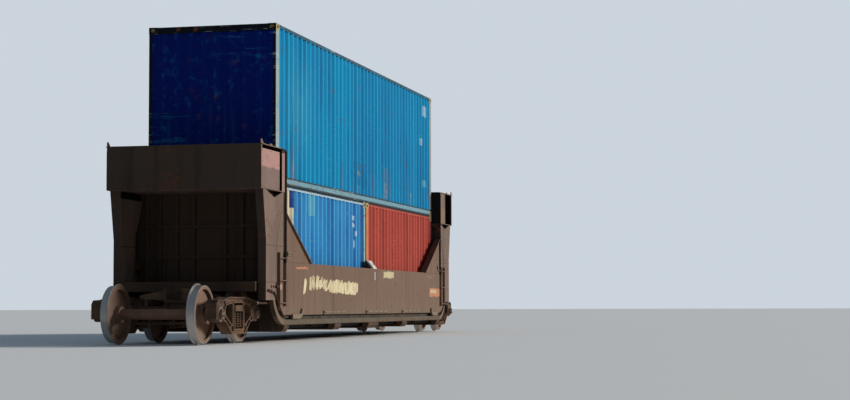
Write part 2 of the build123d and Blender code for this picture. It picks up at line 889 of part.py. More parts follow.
def container(name, centre_x, base, length, height, door_end, fork_pockets):
    """Writes the nodes of one ISO container. door_end is 1 for doors that face +X and -1 for -X."""
    half_length = length / 2
    half_width = box_width / 2
    top = base + height
    bar_x = half_length - casting_length
    bar_y = half_width - frame_recess
    inner_y = bar_y - post_thickness
    inner_x = half_length - frame_recess - post_thickness
    front_y = half_width - casting_width
    rail_y = bar_y - 45
    rail_z = (base + rail_lift, base + bottom_rail)
    top_rail_z = (top - frame_recess - top_rail, top - frame_recess)
    pocket_z = (base + rail_lift + 22, base + rail_lift + 22 + fork_pocket_height)

    with BuildPart() as frame_bars:
        rail_x = (centre_x - bar_x, centre_x + bar_x)
        for side in (-1, 1):
            for end in (-1, 1):
                x = centre_x + end * half_length
                block(
                    (x - end * frame_recess, x - end * casting_length),
                    (side * bar_y, side * inner_y),
                    (base + casting_height, top - casting_height),
                )
            block(rail_x, (side * bar_y, side * inner_y), top_rail_z)
            block(rail_x, (side * bar_y, side * rail_y), rail_z)
        for end in (-1, 1):
            header = header_height if end == door_end else top_rail
            x = centre_x + end * (half_length - frame_recess)
            x_in = centre_x + end * inner_x
            block((x, x_in), (-front_y, front_y), (top - frame_recess - header, top - frame_recess))
            block((x, x_in), (-front_y, front_y), rail_z)
        for pocket in fork_pockets:
            pocket_x = centre_x + pocket * fork_pocket_spacing / 2
            block(
                (pocket_x - fork_pocket_length / 2, pocket_x + fork_pocket_length / 2),
                (-bar_y, bar_y),
                pocket_z,
                mode=Mode.SUBTRACT,
            )
    keep(frame_bars, f"{name}_frame")

    with BuildPart() as castings:
        for end in (-1, 1):
            for side in (-1, 1):
                for face_z in (base, top):
                    up = 1 if face_z == top else -1
                    x = centre_x + end * half_length
                    y = side * half_width
                    middle_x = x - end * casting_length / 2
                    middle_y = y - side * casting_width / 2
                    middle_z = face_z - up * casting_height / 2
                    block(
                        (x, x - end * casting_length),
                        (y, y - side * casting_width),
                        (face_z, face_z - up * casting_height),
                    )
                    block(
                        (middle_x - aperture_length / 2, middle_x + aperture_length / 2),
                        (middle_y - aperture_width / 2, middle_y + aperture_width / 2),
                        (face_z, face_z - up * (casting_height - casting_wall)),
                        mode=Mode.SUBTRACT,
                    )
                    block(
                        (middle_x - aperture_side_width / 2, middle_x + aperture_side_width / 2),
                        (y, y - side * casting_wall * 2),
                        (middle_z - aperture_side_height / 2, middle_z + aperture_side_height / 2),
                        mode=Mode.SUBTRACT,
                    )
                    block(
                        (x, x - end * casting_wall * 2),
                        (middle_y - aperture_side_width / 2, middle_y + aperture_side_width / 2),
                        (middle_z - aperture_side_height / 2, middle_z + aperture_side_height / 2),
                        mode=Mode.SUBTRACT,
                    )
    keep(castings, f"{name}_castings")

    crest = bar_y - 2
    side_line = wave_points(centre_x - bar_x, centre_x + bar_x, wall_pitch, crest, wall_depth)
    backing = crest - wall_depth - wall_sheet
    side_outline = side_line + [(centre_x + bar_x, backing), (centre_x - bar_x, backing)]
    end_crest = half_length - frame_recess - 6
    end_backing = end_crest - end_wall_depth - wall_sheet
    end_outline = wave_points(-inner_y, inner_y, end_wall_pitch, end_crest, end_wall_depth)
    end_outline += [(inner_y, end_backing), (-inner_y, end_backing)]
    wall_foot_z = base + bottom_rail
    with BuildPart() as walls:
        with BuildSketch(Plane.XY.offset(wall_foot_z)):
            Polygon(*side_outline, align=None)
            Polygon(*[(x, -y) for x, y in side_outline], align=None)
        extrude(amount=top - frame_recess - top_rail - wall_foot_z)
        with BuildSketch(Plane.XY.offset(wall_foot_z)):
            Polygon(*[(centre_x - door_end * x, y) for y, x in end_outline], align=None)
        extrude(amount=top - casting_height - wall_foot_z)
    keep(walls, f"{name}_walls")

    roof_crest = top - frame_recess - 4
    roof_line = wave_points(centre_x - inner_x, centre_x + inner_x, roof_pitch, roof_crest, roof_depth)
    roof_under = roof_crest - roof_depth - wall_sheet
    with BuildPart() as roof:
        with BuildSketch(Plane.XZ.offset(-front_y)):
            Polygon(
                *roof_line,
                (centre_x + inner_x, roof_under),
                (centre_x - inner_x, roof_under),
                align=None,
            )
        extrude(amount=2 * front_y)
    keep(roof, f"{name}_roof")

    door_outer = half_length - door_inset
    door_z = (base + bottom_rail + 6, top - frame_recess - header_height - 6)
    leaf_x = (centre_x + door_end * door_outer, centre_x + door_end * (door_outer - door_thickness))
    leaf_edge_y = inner_y - 8
    panel_rows = 4
    panel_border = 60
    panel_edge_y = (70, leaf_edge_y - panel_border)
    panel_step = (door_z[1] - door_z[0] - 80) / panel_rows
    panel_bar = 50
    hinge_half = 60
    with BuildPart() as doors:
        for side in (-1, 1):
            block(leaf_x, (side * 5, side * leaf_edge_y), door_z)
            for share in (0.12, 0.38, 0.62, 0.88):
                hinge_z = door_z[0] + share * (door_z[1] - door_z[0])
                hinge_span = (hinge_z - hinge_half, hinge_z + hinge_half)
                block(leaf_x, (side * leaf_edge_y, side * inner_y), hinge_span)
            for row in range(panel_rows):
                panel_z = door_z[0] + panel_border + row * panel_step
                block(
                    (leaf_x[0], leaf_x[0] - door_end * door_panel_depth),
                    (side * panel_edge_y[0], side * panel_edge_y[1]),
                    (panel_z, panel_z + panel_step - panel_bar),
                    mode=Mode.SUBTRACT,
                )
    keep(doors, f"{name}_doors")

    # Lock rods as twelve-sided bars from sill to header
    rod_x = centre_x + door_end * (door_outer + lock_rod_radius + 4)
    with BuildPart() as lock_rods:
        with BuildSketch(Plane.XY.offset(base + bottom_rail)):
            with Locations(*[(rod_x, side * rod_y) for side in (-1, 1) for rod_y in (260, 800)]):
                RegularPolygon(lock_rod_radius, 12)
        extrude(amount=top - frame_recess - header_height - base - bottom_rail)
    keep(lock_rods, f"{name}_lock_rods")

    floor_top = base + bottom_rail
    bearer_count = round(2 * inner_x / bearer_pitch) - 1
    with BuildPart() as floor:
        board_z = (floor_top - floor_board, floor_top)
        block((centre_x - inner_x, centre_x + inner_x), (-front_y, front_y), board_z)
        block((centre_x - bar_x, centre_x + bar_x), (-rail_y, rail_y), board_z)
        for index in range(bearer_count):
            offset_x = (index - (bearer_count - 1) / 2) * bearer_pitch
            reach = (fork_pocket_length + bearer_width) / 2
            if any(abs(offset_x - pocket * fork_pocket_spacing / 2) < reach for pocket in fork_pockets):
                continue
            x = centre_x + offset_x
            block(
                (x - bearer_width / 2, x + bearer_width / 2),
                (-rail_y, rail_y),
                (base + rail_lift + 2, floor_top - floor_board),
            )
    keep(floor, f"{name}_floor")


box_20_centre = (box_20_gap + box_20_length) / 2
stack_joint = box_base + box_20_height
# Name, centre along X, base, length, height, door end, which sides of the middle have fork pockets
container_table = [
    ("upper_box", 0, stack_joint, box_40_length, box_40_height, 1, ()),
    ("blue_box", -box_20_centre, box_base, box_20_length, box_20_height, 1, (-1, 1)),
    ("red_box", box_20_centre, box_base, box_20_length, box_20_height, -1, (-1, 1)),
]
for row in container_table:
    container(*row)
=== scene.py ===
"""Looks of the articulated double-stack well car unit and its three containers.

Metres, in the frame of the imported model: X along the car, Y across it and Z up from the wheel flanges' tips.
The near side, which the photograph shows, is -Y, and the photograph looks from -X towards +X.
"""

import math
import random

import bmesh
import bpy
from mathutils import Matrix, Vector


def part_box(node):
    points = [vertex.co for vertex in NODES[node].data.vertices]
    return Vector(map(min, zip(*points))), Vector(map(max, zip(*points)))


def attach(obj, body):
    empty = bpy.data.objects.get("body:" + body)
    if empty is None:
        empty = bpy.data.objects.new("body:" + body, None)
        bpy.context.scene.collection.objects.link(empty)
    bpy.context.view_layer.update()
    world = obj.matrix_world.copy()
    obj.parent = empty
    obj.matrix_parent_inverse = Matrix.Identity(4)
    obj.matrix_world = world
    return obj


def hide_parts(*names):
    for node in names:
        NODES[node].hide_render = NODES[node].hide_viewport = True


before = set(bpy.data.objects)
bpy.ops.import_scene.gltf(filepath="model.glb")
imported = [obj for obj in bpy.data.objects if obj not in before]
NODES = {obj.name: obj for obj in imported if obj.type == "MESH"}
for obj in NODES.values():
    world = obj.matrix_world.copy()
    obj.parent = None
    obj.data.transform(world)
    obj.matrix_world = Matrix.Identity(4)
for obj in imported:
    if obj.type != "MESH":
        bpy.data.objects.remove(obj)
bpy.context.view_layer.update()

# Camera, worked out from the container's edges in the photograph
PHOTO_WIDTH = 850
FOCAL_PIXELS = 1790.9
SENSOR_MM = 36.0
CAMERA_PLACE = Vector((-36.52, -11.18, 0.628))
CAMERA_YAW = math.radians(13.36)
CAMERA_PITCH = math.radians(3.41)
CAMERA_ROLL = math.radians(-0.14)
VIEW_REACH = 2000.0

# Light: a low sun from the near side and the far end, and a pale sky over a pale floor
SUN_FROM = Vector((0.58, -0.76, 0.32))
SUN_STRENGTH = 3.45
SUN_ANGLE = math.radians(14)
SUN_COLOUR = (1.0, 0.95, 0.88)
SKY_COLOUR = (0.62, 0.80, 1.0)
SKY_STRENGTH = 0.26
BACKDROP_COLOUR = (0.60, 0.66, 0.72)
FLOOR_COLOUR = (0.80, 0.79, 0.77, 1.0)
FLOOR_HALF = 400.0

# Car body paints, dirt, and painted light and shade, as linear colours
CAR_BROWN = (0.148, 0.085, 0.053)
CAR_FADED = (0.186, 0.114, 0.078)
CAR_GREY = (0.165, 0.108, 0.078)
CAR_PINK = (0.240, 0.145, 0.118)
# Grime, and also the dark of painted shade under the chord bar and inside the car's ends
CAR_GRIME_AND_SHADE = (0.060, 0.034, 0.020)
# Soot on dirty steel, and also the near-black of painted shade in grooves, hollows and gaps
SOOT_AND_SHADE = (0.010, 0.008, 0.007)
CHORD_BROWN = (0.210, 0.150, 0.100)
CHORD_DUST = (0.210, 0.165, 0.115)
CHORD_BAND = (0.072, 0.055, 0.035)
WELD_BROWN = (0.150, 0.088, 0.055)
STREAK_CREAM = (0.330, 0.290, 0.210)
# A painted highlight for the near head's strip
LIT_PINK = (0.330, 0.200, 0.160)
REFLECTOR_PINK = (0.540, 0.290, 0.210)
PLATE_BROWN = (0.170, 0.108, 0.086)
PLATE_FADED = (0.215, 0.143, 0.120)
PLATE_PINK = (0.440, 0.235, 0.200)
# Grime of the outward end faces, darker still as painted shade
END_GRIME_AND_SHADE = (0.060, 0.041, 0.030)
UNDER_BROWN = (0.070, 0.042, 0.027)
CASTING_DARK = (0.040, 0.026, 0.018)
CASTING_DUST = (0.205, 0.118, 0.070)
RUST = (0.150, 0.048, 0.018)
RUST_PALE = (0.270, 0.140, 0.075)

# Wheels and small metal
WHEEL_RIM = (0.120, 0.062, 0.036)
TREAD_STEEL = (0.46, 0.44, 0.42)
FASTENER = (0.085, 0.058, 0.040)
FASTENER_WORN = (0.200, 0.135, 0.090)
ZINC = (0.34, 0.35, 0.35)
ZINC_WORN = (0.46, 0.46, 0.45)
ZINC_DIRT = (0.14, 0.12, 0.10)
RUBBER = (0.016, 0.016, 0.017)
RUBBER_BLOOM = (0.075, 0.070, 0.065)

# Container paints, and painted shade on them
UPPER_BLUE = (0.001, 0.215, 0.465)
UPPER_FADED = (0.006, 0.330, 0.560)
UPPER_GRIME = (0.003, 0.095, 0.230)
UPPER_SCUFF = (0.06, 0.42, 0.60)
# The blank end's blue, darkened to navy as painted shade
END_SHADE_BLUE = (0.003, 0.014, 0.150)
END_SHADE = (0.003, 0.005, 0.010)
BLEACHED = (0.095, 0.390, 0.520)
UPPER_RAIL = (0.145, 0.290, 0.350)
# Near-black of painted shade at the containers' rails and in the gaps between them
RAIL_SHADE = (0.012, 0.040, 0.052)
RAIL_SCUFF = (0.42, 0.50, 0.50)
UPPER_POST = (0.310, 0.360, 0.320)
POST_GREY = (0.300, 0.285, 0.250)
POST_TEAL = (0.25, 0.42, 0.44)
LOWER_BLUE = (0.004, 0.165, 0.440)
LOWER_FADED = (0.045, 0.330, 0.640)
LOWER_GRIME = (0.004, 0.070, 0.240)
LOWER_SCUFF = (0.20, 0.50, 0.72)
LOWER_RAIL = (0.330, 0.450, 0.540)
DEEP_BLUE = (0.006, 0.030, 0.200)
BOX_RED = (0.400, 0.038, 0.022)
RED_FADED = (0.520, 0.090, 0.060)
# Grime on the red box, and also painted shade in its hollows and in the gap over it
RED_GRIME_AND_SHADE = (0.110, 0.020, 0.014)
RED_SCUFF = (0.55, 0.18, 0.13)
CASTING_CREAM = (0.380, 0.300, 0.140)
CASTING_FADED = (0.50, 0.41, 0.22)
CASTING_GRIME = (0.10, 0.06, 0.03)
PLY = (0.200, 0.110, 0.050)
PLY_FADED = (0.27, 0.165, 0.085)
PLY_GRIME = (0.05, 0.03, 0.016)

# Blank patches and brush marks
BRUSH_CREAM = (0.64, 0.53, 0.31)
BRUSH_FADED = (0.72, 0.62, 0.40)
BRUSH_GRIME = (0.36, 0.27, 0.15)
LABEL_CREAM = (0.62, 0.54, 0.32)
ORANGE_MARK = (0.60, 0.24, 0.11)
POST_ORANGE = (0.52, 0.20, 0.06)
TEAL_PATCH = (0.120, 0.410, 0.540)
PALE_MARK = (0.46, 0.62, 0.72)
GUIDE_WHITE = (0.62, 0.56, 0.54)
GUIDE_FADED = (0.72, 0.68, 0.66)

# The two ends and the two sides, as signs along X and across Y
BOTH = (-1, 1)
CORNERS = [(end, side) for end in BOTH for side in BOTH]

# Sizes of the car that the pieces go by
GIRDER_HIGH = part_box("side_girders")[1]
POST_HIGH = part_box("posts")[1]
HEAD_LOW, HEAD_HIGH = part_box("heads")
DECK_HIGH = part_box("decks")[1]
LADDER_LOW, LADDER_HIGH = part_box("ladders")
WEB_FACE = GIRDER_HIGH.y
POST_FACE = WEB_FACE + 0.003
HEAD_FACE = WEB_FACE + 0.013
GIRDER_TOP = GIRDER_HIGH.z
HEAD_BOTTOM = HEAD_LOW.z
HEAD_TOP = HEAD_HIGH.z
WELL_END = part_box("upper_box_castings")[1].x + 0.046
TRUCK_CENTRE = 7.728
AXLE_OFFSET = 0.889
AXLE_HEIGHT = 0.511

# Container sizes that the pieces go by
CASTING_LENGTH = 0.178
SIDE_WAVE_PITCH = 0.278
DOOR_INSET = 0.062
ROD_PLACES = (-0.800, -0.260, 0.260, 0.800)
ROD_RADIUS = 0.016

# Spans of painted zones across Y, and the width of their edge where it is sharp
NEAR_SIDE = (-2.0, 0.0)
ALL_ACROSS = (-2.0, 2.0)
SHARP = 0.001

# Strength of every finish's bump, and the angles in degrees past which an edge of a round form stays sharp
BUMP_STRENGTH = 0.6
NODE_EDGE = 28
PIECE_EDGE = 35


class Recipe:
    """Writes nodes into a node tree and joins them, so that a finish reads as steps."""

    def __init__(self, tree):
        self.tree = tree

    def feed(self, socket, value):
        """Joins a socket to a socket, or sets it to a number, a place or a colour."""
        if isinstance(value, bpy.types.NodeSocket):
            self.tree.links.new(value, socket)
        elif socket.type == "RGBA" and len(value) == 3:
            socket.default_value = (*value, 1.0)
        else:
            socket.default_value = value

    def put(self, kind, feeds=None, **settings):
        """Adds a node, sets it and fills the sockets that feeds names."""
        node = self.tree.nodes.new(kind)
        for name, value in settings.items():
            setattr(node, name, value)
        for name, value in (feeds or {}).items():
            self.feed(node.inputs[name], value)
        return node

    def place(self, group, **feeds):
        """Puts a shader group in. Its sockets are named in lower case with underscores."""
        named = {socket_name(key): value for key, value in feeds.items()}
        return self.put("ShaderNodeGroup", named, node_tree=group).outputs

    def math(self, operation, first, second=0.0, clamp=False):
        node = self.put("ShaderNodeMath", {0: first, 1: second}, operation=operation, use_clamp=clamp)
        return node.outputs[0]

    def times(self, *values):
        """The product of several values, kept between 0 and 1."""
        result = values[0]
        for value in values[1:]:
            result = self.math("MULTIPLY", result, value, clamp=True)
        return result

    def stretch(self, position, scale):
        node = self.put("ShaderNodeVectorMath", {0: position, 1: scale}, operation="MULTIPLY")
        return node.outputs[0]

    def axes(self, position):
        """The three parts of a place, by name."""
        return self.put("ShaderNodeSeparateXYZ", {0: position}).outputs

    def noise(self, position, scale, detail=3.0, roughness=0.55):
        feeds = {"Vector": position, "Scale": scale, "Detail": detail, "Roughness": roughness}
        return self.put("ShaderNodeTexNoise", feeds).outputs["Fac"]

    def band(self, value, start, end, low=0.0, high=1.0):
        """Runs smoothly from low to high while the value runs from start to end."""
        feeds = {"Value": value, "From Min": start, "From Max": end, "To Min": low, "To Max": high}
        return self.put("ShaderNodeMapRange", feeds, interpolation_type="SMOOTHSTEP").outputs["Result"]

    def blend(self, share, first, second):
        """A mix of two colours."""
        node = self.put("ShaderNodeMix", {0: share}, data_type="RGBA")
        self.feed(node.inputs[6], first)
        self.feed(node.inputs[7], second)
        return node.outputs[2]


def socket_name(key):
    """The name of a group's socket, from a name in lower case with underscores."""
    return key.replace("_", " ").capitalize()


def shader_group(steps, outputs, **inputs):
    """Builds a shader group, named as the function of its steps.

    Each group is given the position. A default of one number makes a float socket, of three a vector
    and of four a colour. The output named Colour is a colour, and every other one is a number.
    """
    tree = bpy.data.node_groups.new(socket_name(steps.__name__), "ShaderNodeTree")
    tree.interface.new_socket("Position", in_out="INPUT", socket_type="NodeSocketVector")
    for key, default in inputs.items():
        kind = "Float" if isinstance(default, float) else {3: "Vector", 4: "Color"}[len(default)]
        socket = tree.interface.new_socket(socket_name(key), in_out="INPUT", socket_type=f"NodeSocket{kind}")
        socket.default_value = default
    for name in outputs:
        kind = "Color" if name == "Colour" else "Float"
        tree.interface.new_socket(name, in_out="OUTPUT", socket_type=f"NodeSocket{kind}")
    source = tree.nodes.new("NodeGroupInput")
    sink = tree.nodes.new("NodeGroupOutput")
    for name, value in steps(Recipe(tree), source.outputs).items():
        tree.links.new(value, sink.inputs[name])
    return tree


def sun_faded_paint(r, given):
    """Paint that has bleached in patches and darkened in soft upright runs."""
    patches = r.noise(given["Position"], given["Patch scale"], 4.0, 0.6)
    bleached = r.times(r.band(patches, 0.36, 0.66), given["Fading"])
    colour = r.blend(bleached, given["Paint"], given["Faded"])
    upright = r.stretch(given["Position"], (3.4, 3.4, 0.26))
    runs = r.noise(upright, 1.0, 5.0, 0.65)
    darkened = r.times(r.band(runs, 0.48, 0.74), given["Running"])
    colour = r.blend(darkened, colour, given["Grime"])
    speckle = r.noise(given["Position"], 26.0, 3.0, 0.6)
    colour = r.blend(r.band(speckle, 0.55, 0.80, 0.0, 0.30), colour, given["Grime"])
    gloss = r.math("ADD", r.band(speckle, 0.3, 0.7, -0.05, 0.08), r.band(patches, 0.3, 0.7, 0.0, 0.12))
    return {"Colour": colour, "Roughness": r.math("ADD", gloss, given["Roughness"], clamp=True)}


FADED_PAINT = shader_group(
    sun_faded_paint, ("Colour", "Roughness"),
    paint=(0.5, 0.5, 0.5, 1.0), faded=(0.6, 0.6, 0.6, 1.0), grime=(0.1, 0.1, 0.1, 1.0),
    patch_scale=0.6, fading=0.7, running=0.4, roughness=0.5,
)


def pressed_sheet(r, given):
    """Where a corrugated wall lies out or in, for dirt and painted shade in its hollows and a painted
    highlight on its ridges, and a tint that differs from one corrugation to the next.
    """
    from_start = r.math("SUBTRACT", r.axes(given["Position"])["X"], given["Start"])
    along = r.math("DIVIDE", from_start, given["Step"])
    phase = r.math("FRACT", along)
    trough = r.times(r.band(phase, 0.44, 0.54), r.band(phase, 0.82, 0.72))
    crest = r.math("ADD", r.band(phase, 0.30, 0.22), r.band(phase, 0.95, 0.99), clamp=True)
    count = r.math("FLOOR", along)
    draw = r.put("ShaderNodeTexWhiteNoise", {"W": count}, noise_dimensions="1D").outputs["Value"]
    return {"Trough dirt and shade": trough, "Crest highlight": crest, "Tint": draw}


PRESSED_SHEET = shader_group(pressed_sheet, ("Trough dirt and shade", "Crest highlight", "Tint"), start=0.0, step=0.28)


def rust_runs(r, given):
    """Narrow upright rust runs that grow from the high level down to the low one, in loose clumps."""
    upright = r.stretch(given["Position"], (8.5, 8.5, 0.35))
    lines = r.noise(upright, 1.0, 3.0, 0.6)
    clumps = r.noise(given["Position"], 0.9, 2.0, 0.5)
    reach = r.band(r.axes(given["Position"])["Z"], given["High"], given["Low"])
    return {"Mask": r.times(r.band(lines, 0.53, 0.68), r.band(clumps, 0.44, 0.58), reach, given["Amount"])}


RUST_RUNS = shader_group(rust_runs, ("Mask",), low=0.0, high=1.0, amount=0.6)


def road_dust(r, given):
    """Dust that thins out with height and lies in clouds."""
    level = r.band(r.axes(given["Position"])["Z"], given["High"], given["Low"])
    clouds = r.band(r.noise(given["Position"], 3.2, 4.0, 0.6), 0.30, 0.72, 0.35, 1.0)
    return {"Mask": r.times(level, clouds, given["Amount"])}


ROAD_DUST = shader_group(road_dust, ("Mask",), low=0.2, high=1.2, amount=0.5)


def paint_chips(r, given):
    """Small ragged chips through the paint, in clusters."""
    cells = r.put("ShaderNodeTexVoronoi", {"Vector": given["Position"], "Scale": given["Scale"]})
    ragged = r.band(r.noise(given["Position"], 42.0), 0.3, 0.7, -0.12, 0.12)
    spots = r.band(r.math("ADD", cells.outputs["Distance"], ragged), 0.30, 0.20)
    clusters = r.band(r.noise(given["Position"], 1.7, 3.0, 0.6), 0.52, 0.66)
    return {"Mask": r.times(spots, clusters, given["Amount"])}


PAINT_CHIPS = shader_group(paint_chips, ("Mask",), scale=7.0, amount=0.6)


def handling_scuffs(r, given):
    """Long level scratches from handling, in clusters."""
    lines = r.noise(r.stretch(given["Position"], (0.9, 0.9, 22.0)), 1.0, 4.0, 0.7)
    thin = r.times(r.band(lines, 0.60, 0.63), r.band(lines, 0.68, 0.65))
    clusters = r.band(r.noise(given["Position"], 0.7, 2.0, 0.5), 0.50, 0.62)
    return {"Mask": r.times(thin, clusters, given["Amount"])}


HANDLING_SCUFFS = shader_group(handling_scuffs, ("Mask",), amount=0.5)


def painted_zone(r, given):
    """A painted or stained box-shaped zone between two corners, with a wandering, soft or worn edge."""
    place = r.axes(given["Position"])
    low = r.axes(given["Low"])
    high = r.axes(given["High"])
    ragged = r.band(r.noise(given["Position"], 9.0, 3.0, 0.6), 0.3, 0.7, -1.0, 1.0)
    wander = r.math("MULTIPLY", ragged, given["Wander"])
    inside = []
    for axis in "XYZ":
        value = r.math("ADD", place[axis], wander) if axis != "Y" else place[axis]
        for limit, inward in ((low[axis], 1.0), (high[axis], -1.0)):
            depth = r.math("MULTIPLY", r.math("SUBTRACT", value, limit), inward)
            inside.append(r.band(r.math("DIVIDE", depth, given["Soft"]), 0.0, 1.0))
    worn = r.band(r.noise(given["Position"], 6.0, 4.0, 0.7), 0.28, 0.55, 0.55, 1.0)
    return {"Mask": r.times(*inside, worn, given["Amount"])}


PAINTED_ZONE = shader_group(
    painted_zone, ("Mask",), low=(0.0, 0.0, 0.0), high=(0.0, 0.0, 0.0), wander=0.01, soft=SHARP, amount=0.8,
)


def sheet_relief(r, given):
    """Height of beaten sheet: broad waves, small dents and the paint's own skin."""
    waves = r.noise(given["Position"], 1.1, 2.0, 0.5)
    dents = r.band(r.noise(given["Position"], 4.5, 2.0, 0.5), 0.55, 0.75)
    skin = r.noise(given["Position"], 60.0, 2.0, 0.6)
    height = r.math("MULTIPLY", waves, given["Waves"])
    height = r.math("ADD", height, r.math("MULTIPLY", dents, given["Dents"]))
    return {"Height": r.math("ADD", height, r.math("MULTIPLY", skin, given["Skin"]))}


SHEET_RELIEF = shader_group(sheet_relief, ("Height",), waves=0.6, dents=0.3, skin=0.05)


def axle_distance(r, given):
    """Tread, plate, bearing and cap of a wheelset, by distance from its axle and across the car."""
    place = r.axes(given["Position"])
    from_truck = r.math("ABSOLUTE", r.math("SUBTRACT", r.math("ABSOLUTE", place["X"]), given["Truck"]))
    along = r.math("SUBTRACT", from_truck, given["Offset"])
    up = r.math("SUBTRACT", place["Z"], given["Height"])
    squares = r.math("ADD", r.math("MULTIPLY", along, along), r.math("MULTIPLY", up, up))
    distance = r.math("SQRT", squares)
    across = r.math("ABSOLUTE", place["Y"])
    tread_foot = (0.468, 0.474)
    tread_start = (0.676, 0.684)
    plate_rim = (0.425, 0.415)
    plate_start = (0.60, 0.62)
    plate_end = (0.84, 0.83)
    bearing_start = (0.890, 0.900)
    cap_start = (1.098, 1.102)
    return {
        "Tread": r.times(r.band(distance, *tread_foot), r.band(across, *tread_start)),
        "Plate": r.times(
            r.band(distance, *plate_rim), r.band(across, *plate_start), r.band(across, *plate_end),
        ),
        "Bearing": r.band(across, *bearing_start),
        "Cap": r.band(across, *cap_start),
    }


AXLE_DISTANCE = shader_group(
    axle_distance, ("Tread", "Plate", "Bearing", "Cap"),
    truck=TRUCK_CENTRE, offset=AXLE_OFFSET, height=AXLE_HEIGHT,
)


def dry_bristles(r, given):
    """Paint that a dry brush leaves in upright streaks, with the ground showing between them."""
    fine = r.noise(r.stretch(given["Position"], (75.0, 1.0, 5.0)), 1.0, 3.0, 0.6)
    broad = r.noise(given["Position"], 5.5, 3.0, 0.6)
    cover = r.math("ADD", r.math("MULTIPLY", fine, 0.65), r.math("MULTIPLY", broad, 0.45))
    mask = r.band(cover, given["Thin"], given["Thick"])
    return {"Mask": mask, "Height": r.math("MULTIPLY", mask, r.band(fine, 0.3, 0.7, 0.6, 1.0))}


DRY_BRISTLES = shader_group(dry_bristles, ("Mask", "Height"), thin=0.40, thick=0.52)

MATERIALS = {}


def start_material(name, shine=0.12):
    """Starts a material: its recipe, its Principled BSDF and the place on the object."""
    material = bpy.data.materials.new(name)
    material.use_nodes = True
    MATERIALS[name] = material
    r = Recipe(material.node_tree)
    shader = material.node_tree.nodes["Principled BSDF"]
    shader.inputs["Specular IOR Level"].default_value = shine
    return r, shader, r.put("ShaderNodeTexCoord").outputs["Object"]


def finish_material(r, shader, colour, roughness, height, depth, metallic=None):
    """Joins colour, roughness and bump to the shader."""
    r.feed(shader.inputs["Base Color"], colour)
    r.feed(shader.inputs["Roughness"], roughness)
    bump = r.put("ShaderNodeBump", {"Strength": BUMP_STRENGTH, "Distance": depth, "Height": height})
    r.feed(shader.inputs["Normal"], bump.outputs["Normal"])
    if metallic is not None:
        r.feed(shader.inputs["Metallic"], metallic)


def worn_paint(
    name, paint, faded, grime, shine=0.12, patch=0.6, fading=0.7, running=0.4, gloss=0.5,
    sheet=None, zones=(), scuffs=None, rust=(), chips=(), dust=(), relief=(0.6, 0.3, 0.05), depth=0.006,
):
    """Weathered painted steel.

    sheet is (start, step, amount). A zone is (colour, span in X, span in Y, span in Z, wander, amount), with
    a softness after it where its edge isn't sharp. scuffs is (colour, amount), a rust or dust is
    (colour, low, high, amount), a chip is (scale, amount) and relief is (waves, dents, skin).
    """
    r, shader, position = start_material(name, shine)
    base = r.place(
        FADED_PAINT, position=position, paint=paint, faded=faded, grime=grime,
        patch_scale=patch, fading=fading, running=running, roughness=gloss,
    )
    colour = base["Colour"]
    roughness = base["Roughness"]
    if sheet:
        start, step, amount = sheet
        waves = r.place(PRESSED_SHEET, position=position, start=start, step=step)
        # Tint per corrugation, then dirt and painted shade in the hollows and a painted highlight on the
        # ridges
        colour = r.blend(r.band(waves["Tint"], 0.4, 1.0, 0.0, 0.45 * amount), colour, faded)
        colour = r.blend(r.band(waves["Tint"], 0.5, 0.0, 0.0, 0.30 * amount), colour, grime)
        colour = r.blend(r.times(waves["Trough dirt and shade"], 0.45 * amount), colour, grime)
        colour = r.blend(r.times(waves["Crest highlight"], 0.30 * amount), colour, faded)
    for zone_paint, along, across, up, wander, amount, *soft in zones:
        low, high = zip(along, across, up)
        edge = {"wander": wander, "soft": soft[0] if soft else SHARP}
        mask = r.place(PAINTED_ZONE, position=position, low=low, high=high, amount=amount, **edge)["Mask"]
        colour = r.blend(mask, colour, zone_paint)
    if scuffs:
        scuff_paint, amount = scuffs
        mask = r.place(HANDLING_SCUFFS, position=position, amount=amount)["Mask"]
        colour = r.blend(mask, colour, scuff_paint)
    for run_colour, low, high, amount in rust:
        mask = r.place(RUST_RUNS, position=position, low=low, high=high, amount=amount)["Mask"]
        colour = r.blend(mask, colour, run_colour)
    for size, amount in chips:
        mask = r.place(PAINT_CHIPS, position=position, scale=size, amount=amount)["Mask"]
        colour = r.blend(mask, colour, RUST)
        roughness = r.math("ADD", roughness, r.math("MULTIPLY", mask, 0.3), clamp=True)
    for dust_colour, low, high, amount in dust:
        mask = r.place(ROAD_DUST, position=position, low=low, high=high, amount=amount)["Mask"]
        colour = r.blend(mask, colour, dust_colour)
        roughness = r.math("ADD", roughness, r.math("MULTIPLY", mask, 0.35), clamp=True)
    waves, dents, skin = relief
    height = r.place(SHEET_RELIEF, position=position, waves=waves, dents=dents, skin=skin)["Height"]
    finish_material(r, shader, colour, roughness, height, depth)


